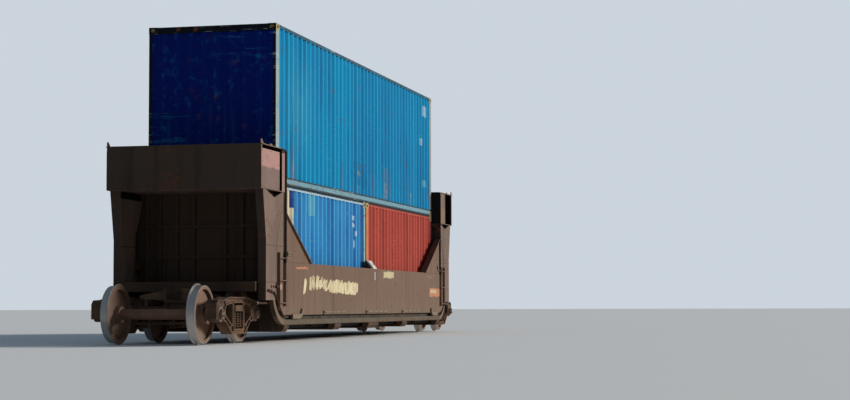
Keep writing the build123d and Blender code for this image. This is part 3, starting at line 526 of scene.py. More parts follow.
def wheel_steel():
    """Rusty wheels with dusty plates and bright treads, and darker bearings with worn end caps."""
    r, shader, position = start_material("wheel_steel", 0.4)
    base = r.place(
        FADED_PAINT, position=position, paint=WHEEL_RIM, faded=RUST_PALE, grime=CASTING_DARK,
        patch_scale=4.0, fading=0.45, running=0.3, roughness=0.62,
    )
    zones = r.place(AXLE_DISTANCE, position=position)
    clouds = r.band(r.noise(position, 7.0, 4.0, 0.6), 0.32, 0.68, 0.35, 1.0)
    colour = r.blend(r.times(zones["Plate"], clouds, 0.55), base["Colour"], CASTING_DUST)
    colour = r.blend(r.times(zones["Bearing"], clouds), colour, CASTING_DARK)
    colour = r.blend(r.times(zones["Cap"], clouds, 0.7), colour, CASTING_DUST)
    scored = r.band(r.noise(r.stretch(position, (2.0, 60.0, 2.0)), 1.0, 2.0, 0.5), 0.35, 0.75, 0.75, 1.0)
    bright = r.times(zones["Tread"], scored)
    colour = r.blend(bright, colour, TREAD_STEEL)
    roughness = r.math("SUBTRACT", base["Roughness"], r.math("MULTIPLY", bright, 0.36), clamp=True)
    height = r.place(SHEET_RELIEF, position=position, waves=0.1, dents=0.4, skin=0.5)["Height"]
    finish_material(r, shader, colour, roughness, height, 0.002, metallic=r.times(bright, 0.9))


def seal_rubber():
    """Black door seal with a dull dusty bloom."""
    r, shader, position = start_material("seal_rubber", 0.4)
    bloom = r.band(r.noise(position, 9.0, 4.0, 0.6), 0.40, 0.75)
    colour = r.blend(r.times(bloom, 0.5), RUBBER, RUBBER_BLOOM)
    height = r.noise(position, 120.0, 2.0, 0.6)
    finish_material(r, shader, colour, r.band(bloom, 0.0, 1.0, 0.55, 0.8), height, 0.0008)


def brushed_cream():
    """Cream brush strokes on the car's brown, with bristle streaks."""
    r, shader, position = start_material("brush_cream")
    base = r.place(
        FADED_PAINT, position=position, paint=BRUSH_CREAM, faded=BRUSH_FADED, grime=BRUSH_GRIME,
        patch_scale=3.0, fading=0.8, running=0.4, roughness=0.65,
    )
    streaks = r.place(DRY_BRISTLES, position=position)
    colour = r.blend(streaks["Mask"], CAR_BROWN, base["Colour"])
    finish_material(r, shader, colour, base["Roughness"], streaks["Height"], 0.001)


def at_both_ends(colour, along, *rest):
    """A painted zone at the +X end, after its mirror image at the -X end."""
    return [(colour, (-along[1], -along[0]), *rest), (colour, along, *rest)]


def car_finishes():
    """Finishes of the car body."""
    well = (-6.2, 6.2)
    inside_web = (-WEB_FACE + 0.010, WEB_FACE - 0.010)
    between_posts = (-1.38, 1.38)
    worn_paint(
        "car_paint", CAR_BROWN, CAR_FADED, CAR_GRIME_AND_SHADE, patch=0.45, fading=0.75, running=0.42, gloss=0.58,
        zones=[
            (CHORD_BAND, well, ALL_ACROSS, (0.334, 0.408), 0.01, 1.2),
            # Painted shade in the groove over the chord bar and on the strip under the bar
            (SOOT_AND_SHADE, well, inside_web, (0.404, 0.489), 0.0, 1.9),
            (CAR_GRIME_AND_SHADE, well, ALL_ACROSS, (0.30, 0.334), 0.0, 1.9),
            (ORANGE_MARK, (-5.46, -4.73), NEAR_SIDE, (1.325, 1.362), 0.012, 0.75),
            (LABEL_CREAM, (0.79, 1.66), NEAR_SIDE, (1.25, 1.38), 0.02, 0.8),
            (CHORD_DUST, (4.86, 5.36), NEAR_SIDE, (1.30, 1.37), 0.02, 0.6),
            (ORANGE_MARK, (5.10, 6.20), NEAR_SIDE, (0.87, 1.07), 0.02, 0.75),
            (LABEL_CREAM, (5.16, 5.80), NEAR_SIDE, (0.95, 1.03), 0.02, 0.7),
            (PALE_MARK, (0.02, 0.12), NEAR_SIDE, (1.19, 1.36), 0.01, 0.5),
            (REFLECTOR_PINK, (-6.45, -6.29), NEAR_SIDE, (0.935, 1.025), 0.006, 1.2),
            # Painted shade on the inner faces between the posts at both ends
            *at_both_ends(CAR_GRIME_AND_SHADE, (6.10, 6.60), between_posts, (0.2, 3.5), 0.02, 0.9),
        ],
        rust=[(RUST, 0.45, 1.45, 0.55), (CAR_GRIME_AND_SHADE, 0.45, 1.5, 0.40)], chips=[(6.0, 0.5)],
        dust=[(CHORD_DUST, 0.45, 0.95, 0.35)], relief=(1.0, 0.35, 0.05), depth=0.010,
    )
    panel_along = (WELL_END - 0.060, WELL_END + 0.120)
    worn_paint(
        "post_paint", CAR_GREY, CAR_PINK, CAR_GRIME_AND_SHADE, patch=0.8, fading=0.60, running=0.5, gloss=0.58,
        zones=[
            # Painted shade: a dark column beside the end flanges, and the notch under each head
            *at_both_ends(SOOT_AND_SHADE, panel_along, ALL_ACROSS, (1.38, 3.5), 0.0, 0.9, 0.05),
            *at_both_ends(SOOT_AND_SHADE, (6.27, 7.24), (-1.400, 1.400), (2.535, 2.665), 0.0, 1.9),
            (CAR_GRIME_AND_SHADE, (-7.3, 7.3), ALL_ACROSS, (1.692, 1.704), 0.0, 1.5),
            (CAR_GRIME_AND_SHADE, (-7.3, 7.3), ALL_ACROSS, (1.056, 1.070), 0.0, 0.8),
        ],
        rust=[(CAR_GRIME_AND_SHADE, 1.5, 2.7, 0.45), (RUST, 0.8, 1.7, 0.5)], chips=[(7.0, 0.6)],
        relief=(0.8, 0.35, 0.05), depth=0.008,
    )
    hollow_along = (WELL_END + 0.013, HEAD_HIGH.x - 0.013)
    hollow_across = (-WEB_FACE + 0.006, WEB_FACE - 0.006)
    rim_along = (WELL_END - 0.005, WELL_END + 0.045)
    worn_paint(
        "head_paint", CAR_GREY, CAR_PINK, CAR_GRIME_AND_SHADE, patch=0.9, fading=0.8, running=0.5, gloss=0.60,
        zones=[
            # Painted shade in the hollow of each head, seen through its window
            *at_both_ends(SOOT_AND_SHADE, hollow_along, hollow_across, (2.66, 3.42), 0.0, 1.9),
            # A painted highlight on the near head's strip beside its window
            (LIT_PINK, (-6.345, -6.20), NEAR_SIDE, (2.67, 3.36), 0.004, 0.9),
            # Painted shadow beside the end flanges on the heads, and painted shade at the near head's top
            # corner
            *at_both_ends(SOOT_AND_SHADE, rim_along, ALL_ACROSS, (2.6, 3.5), 0.0, 1.6),
            (SOOT_AND_SHADE, (-6.45, -6.13), NEAR_SIDE, (3.355, 3.5), 0.004, 1.6),
            (RUST_PALE, (6.2, 6.72), NEAR_SIDE, (2.68, 3.05), 0.03, 0.6),
        ],
        rust=[(CAR_GRIME_AND_SHADE, 2.7, 3.5, 0.5)], chips=[(8.0, 0.6)], relief=(0.6, 0.3, 0.06),
    )
    worn_paint(
        "plate_paint", PLATE_BROWN, PLATE_FADED, CAR_GRIME_AND_SHADE, patch=1.6, fading=0.9, running=0.35, gloss=0.6,
        zones=[(PLATE_PINK, (-8.0, -6.0), ALL_ACROSS, (3.03, 3.40), 0.012, 0.85, 0.03)],
        chips=[(9.0, 0.5)], rust=[(RUST, 2.6, 3.1, 0.35)],
    )
    worn_paint(
        "guide_white", GUIDE_WHITE, GUIDE_FADED, CAR_GRIME_AND_SHADE, patch=2.6, fading=0.8, running=0.4, gloss=0.55,
        # Painted shade on the guides' part towards -X
        zones=[(SOOT_AND_SHADE, (-0.30, -0.04), ALL_ACROSS, (1.40, 1.70), 0.02, 0.95)],
        chips=[(12.0, 0.9)], rust=[(RUST, 1.4, 1.62, 0.6)],
    )
    # The outward end faces: grime and painted shade
    worn_paint(
        "end_grime_and_shade", END_GRIME_AND_SHADE, UNDER_BROWN, SOOT_AND_SHADE, patch=0.9, fading=0.8, running=0.6, gloss=0.65,
        rust=[(CAR_GRIME_AND_SHADE, 0.6, 3.4, 0.5)], chips=[(7.0, 0.5)], relief=(0.8, 0.35, 0.08), depth=0.008,
    )
    worn_paint(
        "chord_steel", CHORD_BROWN, CHORD_DUST, CAR_GRIME_AND_SHADE,
        patch=1.2, fading=0.9, running=0.3, gloss=0.6, chips=[(7.0, 0.7)],
    )
    worn_paint(
        "weld_bead", WELD_BROWN, CAR_FADED, CAR_GRIME_AND_SHADE,
        patch=6.0, fading=0.7, running=0.3, gloss=0.6, relief=(0.1, 0.8, 0.6), depth=0.003,
    )
    brushed_cream()


def running_gear_finishes():
    """Finishes of the trucks, the wheelsets, the underside and the fasteners."""
    # Dark under-frame steel, also used as painted shade on some faces
    worn_paint(
        "under_steel_and_shade", UNDER_BROWN, CAR_GRIME_AND_SHADE, SOOT_AND_SHADE, patch=1.2, fading=0.7, running=0.5, gloss=0.7,
        chips=[(7.0, 0.6)], dust=[(CASTING_DUST, 0.1, 0.9, 0.25)], relief=(0.5, 0.4, 0.2),
    )
    worn_paint(
        "truck_casting", CASTING_DARK, CASTING_DUST, SOOT_AND_SHADE, patch=2.4, fading=0.75, running=0.4, gloss=0.70,
        chips=[(9.0, 0.9), (3.0, 0.6)], dust=[(CASTING_DUST, 0.15, 0.85, 0.45)],
        relief=(0.2, 0.5, 0.35), depth=0.004,
    )
    worn_paint(
        "fastener_steel", FASTENER, FASTENER_WORN, SOOT_AND_SHADE,
        patch=9.0, fading=0.8, running=0.2, gloss=0.6, shine=0.4, chips=[(24.0, 0.9)], depth=0.001,
    )
    wheel_steel()


def wall_sheet(box, amount):
    """Start along X and step of a container's side corrugations, and how strongly their tint, dirt, painted
    shade and painted highlights show.
    """
    low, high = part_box(f"{box}_castings")
    length = high.x - low.x - 2 * CASTING_LENGTH
    return low.x + CASTING_LENGTH, length / round(length / SIDE_WAVE_PITCH), amount


def upper_box_finishes():
    """Finishes of the long blue container's sheets and frame."""
    low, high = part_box("upper_box_castings")
    rail_top = low.z + 0.160
    worn_paint(
        "upper_blue", UPPER_BLUE, UPPER_FADED, UPPER_GRIME,
        patch=0.35, fading=0.55, running=0.50, gloss=0.62, shine=0.04, sheet=wall_sheet("upper_box", 1.0),
        zones=[
            # Painted shade: the blank end tinted navy
            (END_SHADE_BLUE, (low.x, low.x + 0.10), ALL_ACROSS, (2.8, 5.8), 0.0, 1.2),
            (BLEACHED, (-6.0, -3.2), NEAR_SIDE, (2.9, 5.7), 0.10, 0.55, 1.4),
            (PALE_MARK, (5.30, 5.62), NEAR_SIDE, (5.21, 5.46), 0.01, 0.75),
            (PALE_MARK, (5.00, 5.20), NEAR_SIDE, (4.49, 4.66), 0.01, 0.6),
            (TEAL_PATCH, (5.18, 5.62), NEAR_SIDE, (3.51, 3.67), 0.01, 0.8),
            (UPPER_GRIME, (-0.97, 0.10), NEAR_SIDE, (3.10, 3.66), 0.12, 0.30),
            (RUST_PALE, (1.58, 1.96), NEAR_SIDE, (3.05, 3.70), 0.10, 0.28),
            (STREAK_CREAM, (-5.08, -4.98), NEAR_SIDE, (2.98, 3.45), 0.05, 0.7, 0.04),
            (STREAK_CREAM, (-0.58, -0.46), NEAR_SIDE, (2.98, 3.62), 0.06, 0.8, 0.04),
            (STREAK_CREAM, (1.66, 1.80), NEAR_SIDE, (2.98, 3.35), 0.06, 0.7, 0.04),
            (STREAK_CREAM, (3.95, 4.05), NEAR_SIDE, (2.98, 3.30), 0.05, 0.5, 0.04),
        ],
        scuffs=(UPPER_SCUFF, 0.25), rust=[(RUST_PALE, 2.98, 3.75, 0.75), (UPPER_GRIME, 3.0, 5.6, 0.55)],
        chips=[(4.0, 0.30)], relief=(0.5, 0.45, 0.04), depth=0.012,
    )
    post_face = -1.211
    worn_paint(
        "upper_frame", UPPER_BLUE, UPPER_FADED, UPPER_GRIME, patch=1.2, fading=0.7, running=0.35, gloss=0.5,
        zones=[
            # Painted shade along the bottom rail, with the pale rail between, and along the top rail's near
            # side
            (RAIL_SHADE, (-6.2, 6.2), ALL_ACROSS, (2.8, rail_top + 0.01), 0.0, 1.9),
            (UPPER_RAIL, (-6.2, 6.2), ALL_ACROSS, (2.875, rail_top - 0.033), 0.006, 1.2),
            (RAIL_SHADE, (-6.2, 6.2), (-2.0, -1.0), (high.z - 0.075, 5.8), 0.006, 0.9),
            (UPPER_POST, (low.x, -5.90), (-2.0, post_face), (2.99, 5.62), 0.004, 0.95),
            (POST_GREY, (5.90, high.x), (-2.0, -1.0), (2.99, 5.62), 0.004, 0.95),
            (END_SHADE, (low.x, low.x + 0.05), (post_face, 1.3), (2.9, 5.8), 0.0, 1.9),
        ],
        scuffs=(RAIL_SCUFF, 0.8), chips=[(6.0, 0.9)],
        rust=[(RUST_PALE, 2.8, 3.2, 0.6), (RUST, 3.0, 5.7, 0.3)],
    )


def lower_box_finishes():
    """Finishes of the two short containers' sheets and frames."""
    blue_x = (-6.2, 0.0)
    red_x = (0.0, 6.2)
    near_post = (-2.0, -1.0)
    post_z = (0.5, 2.71)
    base_z = (0.20, 0.45)
    worn_paint(
        "lower_blue", LOWER_BLUE, LOWER_FADED, LOWER_GRIME,
        patch=0.5, fading=0.7, running=0.5, gloss=0.58, shine=0.08, sheet=wall_sheet("blue_box", 1.35),
        zones=[
            (LABEL_CREAM, (-5.50, -5.02), NEAR_SIDE, (2.12, 2.62), 0.01, 0.95),
            (LABEL_CREAM, (-5.50, -5.20), NEAR_SIDE, (2.60, 2.77), 0.01, 0.95),
            (DEEP_BLUE, (-5.20, -4.90), NEAR_SIDE, (2.45, 2.79), 0.01, 1.2),
            (TEAL_PATCH, (-4.05, -3.66), NEAR_SIDE, (2.36, 2.76), 0.01, 0.85),
            (PALE_MARK, (-1.05, -0.80), NEAR_SIDE, (2.42, 2.51), 0.015, 0.8),
            (PALE_MARK, (-1.05, -0.80), NEAR_SIDE, (2.26, 2.36), 0.015, 0.8),
            (PALE_MARK, (-0.78, -0.58), NEAR_SIDE, (2.10, 2.20), 0.015, 0.8),
            (PALE_MARK, (-0.94, -0.80), NEAR_SIDE, (1.84, 2.03), 0.015, 0.75),
        ],
        scuffs=(LOWER_SCUFF, 0.35), rust=[(LOWER_GRIME, 1.3, 2.7, 0.5)], chips=[(4.0, 0.25)],
        relief=(0.5, 0.45, 0.04), depth=0.012,
    )
    worn_paint(
        "lower_blue_frame", LOWER_BLUE, LOWER_FADED, LOWER_GRIME,
        patch=1.2, fading=0.7, running=0.4, gloss=0.55,
        zones=[
            # Painted shade in the gap over the short box, and beside its near post in the middle gap
            (RAIL_SHADE, blue_x, ALL_ACROSS, (2.70, 2.85), 0.0, 1.9),
            (LOWER_RAIL, blue_x, ALL_ACROSS, (2.764, 2.800), 0.004, 1.3),
            (LABEL_CREAM, (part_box("blue_box_castings")[0].x, -5.90), near_post, post_z, 0.004, 0.85),
            (RAIL_SHADE, (-0.26, -0.15), near_post, post_z, 0.0, 1.9),
            (POST_TEAL, (-0.15, 0.0), near_post, post_z, 0.004, 1.2),
            # Painted shade on the box's base, under the car's side
            (SOOT_AND_SHADE, blue_x, ALL_ACROSS, base_z, 0.0, 1.9),
        ],
        chips=[(7.0, 0.8)],
    )
    worn_paint(
        "lower_red", BOX_RED, RED_FADED, RED_GRIME_AND_SHADE,
        patch=0.5, fading=0.55, running=0.40, gloss=0.60, shine=0.08, sheet=wall_sheet("red_box", 0.8),
        scuffs=(RED_SCUFF, 0.4), rust=[(RED_GRIME_AND_SHADE, 1.3, 2.7, 0.5)], chips=[(5.0, 0.25)],
        relief=(0.5, 0.45, 0.04), depth=0.012,
    )
    worn_paint(
        "lower_red_frame", BOX_RED, RED_FADED, RED_GRIME_AND_SHADE, patch=1.2, fading=0.6, running=0.4, gloss=0.55,
        zones=[
            (POST_ORANGE, (0.0, 0.26), near_post, post_z, 0.004, 0.9),
            # Painted shade in the gap under the upper box
            (RED_GRIME_AND_SHADE, red_x, ALL_ACROSS, (2.795, 2.85), 0.0, 1.9),
            # Painted shade on the box's base, under the car's side
            (SOOT_AND_SHADE, red_x, ALL_ACROSS, base_z, 0.0, 1.9),
        ],
        chips=[(7.0, 0.8)],
    )


def box_fitting_finishes():
    """Finishes of the containers' castings, lock rods, floors and seals."""
    end_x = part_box("upper_box_castings")[0].x
    worn_paint(
        "cream_casting", CASTING_CREAM, CASTING_FADED, CASTING_GRIME,
        patch=5.0, fading=0.8, running=0.3, gloss=0.55,
        zones=[
            # Painted shade on the lower castings, under the car's side
            (SOOT_AND_SHADE, (-6.3, 6.3), ALL_ACROSS, (0.20, 0.40), 0.0, 0.95),
            (END_SHADE, (end_x - 0.01, end_x + 0.004), (-1.215, 2.0), (2.8, 5.8), 0.0, 1.6),
        ],
        chips=[(14.0, 0.9)],
    )
    worn_paint(
        "zinc_steel", ZINC, ZINC_WORN, ZINC_DIRT,
        patch=3.0, fading=0.7, running=0.3, gloss=0.45, shine=0.5, chips=[(12.0, 0.6)],
    )
    worn_paint(
        "box_floor", PLY, PLY_FADED, PLY_GRIME, patch=2.0, fading=0.7, running=0.3, gloss=0.65,
        # Painted shade on the floor's edge, under the car's side
        zones=[(SOOT_AND_SHADE, (-6.3, 6.3), ALL_ACROSS, (0.20, 0.365), 0.0, 0.95)],
    )
    seal_rubber()


# Finish of each CAD node, by the end of its name or else by its start. The others have car_paint
FINISHES_BY_END = [
    ("_box_castings", "cream_casting"),
    ("_lock_rods", "zinc_steel"),
    ("_floor", "box_floor"),
]
FINISHES_BY_START = [
    ("upper_box_frame", "upper_frame"),
    ("upper_box", "upper_blue"),
    ("blue_box_frame", "lower_blue_frame"),
    ("blue_box", "lower_blue"),
    ("red_box_frame", "lower_red_frame"),
    ("red_box", "lower_red"),
    ("wheelset", "wheel_steel"),
    ("truck", "truck_casting"),
    ("connector", "truck_casting"),
    ("side_bearing", "truck_casting"),
    ("pedestals", "under_steel_and_shade"),
    ("crossmembers", "under_steel_and_shade"),
    ("floor_braces", "under_steel_and_shade"),
    ("stub_sills", "under_steel_and_shade"),
    ("end_sills", "under_steel_and_shade"),
    ("train_pipe", "under_steel_and_shade"),
    ("posts", "post_paint"),
    ("ladders", "post_paint"),
    ("heads", "head_paint"),
    ("sign_plates", "plate_paint"),
    ("mid_guides", "guide_white"),
    ("web_bars", "chord_steel"),
    ("jacking_brackets", "chord_steel"),
]


def finish_of(name):
    """The finish of a CAD node."""
    by_end = [finish for ending, finish in FINISHES_BY_END if name.endswith(ending)]
    by_start = [finish for start, finish in FINISHES_BY_START if name.startswith(start)]
    return (by_end + by_start + ["car_paint"])[0]


def looks_out(face):
    """True for a face past the well's end that looks away from the car's middle."""
    outward = face.normal.x if face.center.x > 0 else -face.normal.x
    return outward > 0.6 and abs(face.center.x) > WELL_END


def looks_along(face):
    """True for a face that looks along the car."""
    return abs(face.normal.x) > 0.9


def far_cap(face):
    """True for a face of the +X end's gussets that doesn't look across the car."""
    return abs(face.normal.y) < 0.5 and face.center.x > 0


# Second finish of some nodes, and the faces that have it. All are darkened as painted shade, the ends also by
# grime
SECOND_FINISHES = {
    "side_girders": ("end_grime_and_shade", looks_out),
    "posts": ("end_grime_and_shade", looks_out),
    "heads": ("end_grime_and_shade", looks_out),
    "end_walls": ("end_grime_and_shade", looks_out),
    "decks": ("end_grime_and_shade", looks_out),
    "mid_guides": ("under_steel_and_shade", looks_along),
    "gussets": ("under_steel_and_shade", far_cap),
}


def smooth_round(mesh, angle):
    """Shades a mesh smooth, apart from edges sharper than an angle in degrees."""
    mesh.polygons.foreach_set("use_smooth", [True] * len(mesh.polygons))
    mesh.set_sharp_from_angle(angle=math.radians(angle))


def dress_nodes():
    """Gives each carried-over CAD node its finish."""
    for name, node in NODES.items():
        mesh = node.data
        mesh.materials.clear()
        mesh.materials.append(MATERIALS[finish_of(name)])
        if name in SECOND_FINISHES:
            finish, has_it = SECOND_FINISHES[name]
            mesh.materials.append(MATERIALS[finish])
            for face in mesh.polygons:
                face.material_index = 1 if has_it(face) else 0
        if name.startswith(("wheelset", "truck", "connector")):
            smooth_round(mesh, NODE_EDGE)


def add_object(name, data):
    """Puts data into the scene as an object."""
    made = bpy.data.objects.new(name, data)
    bpy.context.scene.collection.objects.link(made)
    return made


class Shape:
    """Gathers the solids of one piece."""

    def __init__(self):
        self.mesh = bmesh.new()

    def block(self, low, high, edge=0.0):
        """A block between two corners, with its edges broken where edge is given."""
        size = [abs(b - a) for a, b in zip(low, high)]
        centre = [(a + b) / 2 for a, b in zip(low, high)]
        matrix = Matrix.Translation(centre) @ Matrix.Diagonal((*size, 1.0))
        made = bmesh.ops.create_cube(self.mesh, size=1.0, matrix=matrix)
        if edge:
            edges = {line for corner in made["verts"] for line in corner.link_edges}
            bmesh.ops.bevel(self.mesh, geom=list(edges), offset=edge, segments=1, affect="EDGES")

    def rod(self, start, end, radius, sides=12, end_radius=None):
        """A round or many-sided rod between two points, tapered where end_radius is given."""
        start = Vector(start)
        end = Vector(end)
        turn = (end - start).to_track_quat("Z", "Y").to_matrix().to_4x4()
        bmesh.ops.create_cone(
            self.mesh,
            cap_ends=True,
            segments=sides,
            radius1=radius,
            radius2=radius if end_radius is None else end_radius,
            depth=(end - start).length,
            matrix=Matrix.Translation((start + end) / 2) @ turn,
        )

    def bolt(self, place, outward, across=0.030, rise=0.014):
        """A hexagon head on a washer, standing out of a face."""
        place = Vector(place)
        outward = Vector(outward).normalized()
        washer = 0.2 * rise
        crown = 0.85 * rise
        self.rod(place - outward * 0.001, place + outward * washer, 0.68 * across, 14)
        self.rod(place + outward * washer, place + outward * crown, 0.5 * across, 6)
        self.rod(place + outward * crown, place + outward * rise, 0.5 * across, 6, 0.36 * across)

    def rivet(self, place, outward, radius=0.012):
        """A domed head."""
        place = Vector(place)
        outward = Vector(outward).normalized()
        shoulder = place + outward * 0.35 * radius
        self.rod(place - outward * 0.001, shoulder, radius, 10, 0.86 * radius)
        self.rod(shoulder, place + outward * 0.7 * radius, 0.86 * radius, 10, 0.4 * radius)

    def sweep(self, path, radius, sides=8):
        """A round bar along a list of points."""
        path = [Vector(point) for point in path]
        rings = []
        side = None
        for index, point in enumerate(path):
            before = path[max(index - 1, 0)]
            after = path[min(index + 1, len(path) - 1)]
            along = (after - before).normalized()
            side = along.orthogonal() if side is None else side - along * side.dot(along)
            side = side.normalized()
            across = along.cross(side)
            ring = []
            for step in range(sides):
                angle = 2 * math.pi * step / sides
                place = point + side * (radius * math.cos(angle)) + across * (radius * math.sin(angle))
                ring.append(self.mesh.verts.new(place))
            rings.append(ring)
        for first, second in zip(rings, rings[1:]):
            for step in range(sides):
                following = (step + 1) % sides
                self.mesh.faces.new((first[step], first[following], second[following], second[step]))
        self.mesh.faces.new(list(reversed(rings[0])))
        self.mesh.faces.new(rings[-1])

    def prism(self, front, back):
        """The solid between two outlines of as many points."""
        front = [self.mesh.verts.new(Vector(point)) for point in front]
        back = [self.mesh.verts.new(Vector(point)) for point in back]
        self.mesh.faces.new(front)
        self.mesh.faces.new(list(reversed(back)))
        for index, corner in enumerate(front):
            following = (index + 1) % len(front)
            self.mesh.faces.new((front[following], corner, back[index], back[following]))

    def plate(self, outline, thickness):
        """A flat plate from the points of one face, thickened by a step."""
        self.prism(outline, [Vector(point) + Vector(thickness) for point in outline])

    def to_data(self, name):
        """Turns the solids into mesh data."""
        bmesh.ops.recalc_face_normals(self.mesh, faces=self.mesh.faces[:])
        data = bpy.data.meshes.new(name)
        self.mesh.to_mesh(data)
        self.mesh.free()
        return data

    def finish(self, name, material, body, slot, smooth=False):
        """Turns the solids into one object that rides on a body."""
        piece = add_object(name, self.to_data(name))
        piece.data.materials.append(MATERIALS[material])
        if smooth:
            smooth_round(piece.data, PIECE_EDGE)
        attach(piece, body)
        return piece


def half_turn(steps=8):
    """The sine and cosine of each even step of a half turn."""
    angles = [math.pi * step / steps for step in range(steps + 1)]
    return [(math.sin(angle), math.cos(angle)) for angle in angles]


def truck_centre(truck):
    """Middle of a truck along X."""
    low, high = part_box(f"truck_{truck}_side_frames")
    return (low.x + high.x) / 2


def coil_springs(truck):
    """Real coils for the truck's spring groups, in place of the plain spring solids."""
    low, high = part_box(f"truck_{truck}_springs")
    centre_x = (low.x + high.x) / 2
    centre_y = 1.0025
    row_half = 0.048
    spacing = 0.132
    wire = 0.013
    radius = 0.046 - wire
    steps = 14
    turns = 6.5
    count = int(turns * steps)
    climb = (high.z - low.z - 2 * wire) / count
    shape = Shape()
    for side in BOTH:
        for row in BOTH:
            for place in (-1, 0, 1):
                x = centre_x + place * spacing
                y = side * (centre_y + row * row_half)
                path = []
                for step in range(count + 1):
                    angle = 2 * math.pi * step / steps
                    rise = low.z + wire + climb * step
                    path.append((x + radius * math.cos(angle), y + radius * math.sin(angle), rise))
                shape.sweep(path, wire, 6)
    body = f"truck_{truck}"
    piece = shape.finish(f"truck_{truck}_coils", "truck_casting", body, "truck_casting", smooth=True)
    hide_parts(f"truck_{truck}_springs")


def cap_bolts(wheelset):
    """Three bolts and their locking plate on each bearing's end cap."""
    low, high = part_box(wheelset)
    centre_x = (low.x + high.x) / 2
    bolt_circle = 0.047
    plate_circle = 0.068
    plate_thickness = 0.003
    shape = Shape()
    for side, face_y in ((-1, low.y), (1, high.y)):
        corners = []
        for turn in (90, 210, 330):
            across = math.cos(math.radians(turn))
            up = math.sin(math.radians(turn))
            x = centre_x + bolt_circle * across
            z = AXLE_HEIGHT + bolt_circle * up
            shape.bolt((x, face_y + side * plate_thickness, z), (0, side, 0), 0.030, 0.018)
            corners.append((centre_x + plate_circle * across, face_y, AXLE_HEIGHT + plate_circle * up))
        shape.plate(corners, (0, side * plate_thickness, 0))
    shape.finish(f"{wheelset}_cap_bolts", "fastener_steel", wheelset, "wheel_steel", smooth=True)


def side_frame_gear(truck):
    """Wear plate bolts, jaw keepers and cast bosses on the outer faces of a truck's side frames."""
    centre_x = truck_centre(truck)
    pocket = 1.068
    boss_face = 1.092
    column_x = 0.261
    jaw_x = 0.7015
    column_bolts = (0.40, 0.47, 0.60)
    keeper_bolts = (0.460, 0.560)
    bosses_at = ((0.620, 0.712, 0.026), (0.400, 0.298, 0.024))
    pads = ((0.12, 0.010, 0.725, 0.775), (0.20, 0.008, 0.203, 0.240))
    shape = Shape()
    bosses = Shape()
    for side in BOTH:
        outward = (0, side, 0)
        root_y = side * (pocket - 0.002)
        for end in BOTH:
            for z in column_bolts:
                shape.bolt((centre_x + end * column_x, side * pocket, z), outward, 0.018, 0.014)
            for z in keeper_bolts:
                shape.bolt((centre_x + end * jaw_x, side * pocket, z), outward, 0.022, 0.014)
            for x, z, radius in bosses_at:
                foot = (centre_x + end * x, root_y, z)
                crown = (centre_x + end * x, side * boss_face, z)
                bosses.rod(foot, crown, radius, 20, 0.78 * radius)
        for half, rise, low_z, high_z in pads:
            low = (centre_x - half, root_y, low_z)
            bosses.block(low, (centre_x + half, side * (pocket + rise), high_z), 0.006)
    body = f"truck_{truck}"
    shape.finish(f"truck_{truck}_frame_bolts", "fastener_steel", body, "truck_casting", smooth=True)
    bosses.finish(f"truck_{truck}_frame_bosses", "truck_casting", body, "truck_casting", smooth=True)


def brake_gear(truck):
    """Levers, the rod under the bolster and the pins that join the truck's two brake beams."""
    centre_x = truck_centre(truck)
    lever_x = 0.262
    rod_z = 0.296
    beam_pin_z = 0.352
    head_z = 0.622
    head_shift = 0.006
    lever_y = 0.036
    lever_half = 0.005
    foot_half = 0.024
    head_half = 0.018
    pin_half = 0.052
    fork_x = 0.250
    fork_reach = 0.035
    shape = Shape()
    for end in BOTH:
        x = centre_x + end * lever_x
        head_x = x + end * head_shift
        for y in (-lever_y, lever_y):
            near_y = y - lever_half
            far_y = y + lever_half
            outline = [
                (x - foot_half, near_y, rod_z), (x + foot_half, near_y, rod_z),
                (head_x + head_half, near_y, head_z), (head_x - head_half, near_y, head_z),
            ]
            shape.plate(outline, (0, 2 * lever_half, 0))
            shape.rod((x, near_y, rod_z), (x, far_y, rod_z), 0.026, 16)
            shape.rod((head_x, near_y, head_z), (head_x, far_y, head_z), 0.020, 16)
        for pin_x, z in ((x, rod_z), (x, beam_pin_z), (head_x, head_z)):
            shape.rod((pin_x, -pin_half - 0.002, z), (pin_x, pin_half + 0.002, z), 0.011, 12)
            for side in (1, -1):
                shape.bolt((pin_x, side * pin_half, z), (0, side, 0), 0.026, 0.010)
    shape.sweep([(centre_x - lever_x, 0.0, rod_z), (centre_x + lever_x, 0.0, rod_z)], 0.015, 12)
    for end in BOTH:
        x = centre_x + end * fork_x
        low = (x - end * fork_reach, -0.026, rod_z - 0.020)
        shape.block(low, (x + end * fork_reach, 0.026, rod_z + 0.020), 0.006)
    body = f"truck_{truck}"
    shape.finish(f"truck_{truck}_brake_levers", "truck_casting", body, "truck_casting", smooth=True)


def shoe_keys(truck):
    """The spring key that holds each brake shoe, and the lug under its hook."""
    centre_x = truck_centre(truck)
    key_x = 0.372
    key_y = 0.750
    hook = ((0.0, 0.512), (0.0, 0.540), (0.006, 0.552), (0.022, 0.556))
    shape = Shape()
    for end, side in CORNERS:
        x = centre_x + end * key_x
        y = side * key_y
        shape.sweep([(x - end * inward, y, z) for inward, z in hook], 0.007, 8)
        shape.block((x - 0.016, y - 0.030, 0.516), (x + 0.016, y + 0.030, 0.532), 0.004)
    body = f"truck_{truck}"
    shape.finish(f"truck_{truck}_shoe_keys", "fastener_steel", body, "truck_casting", smooth=True)


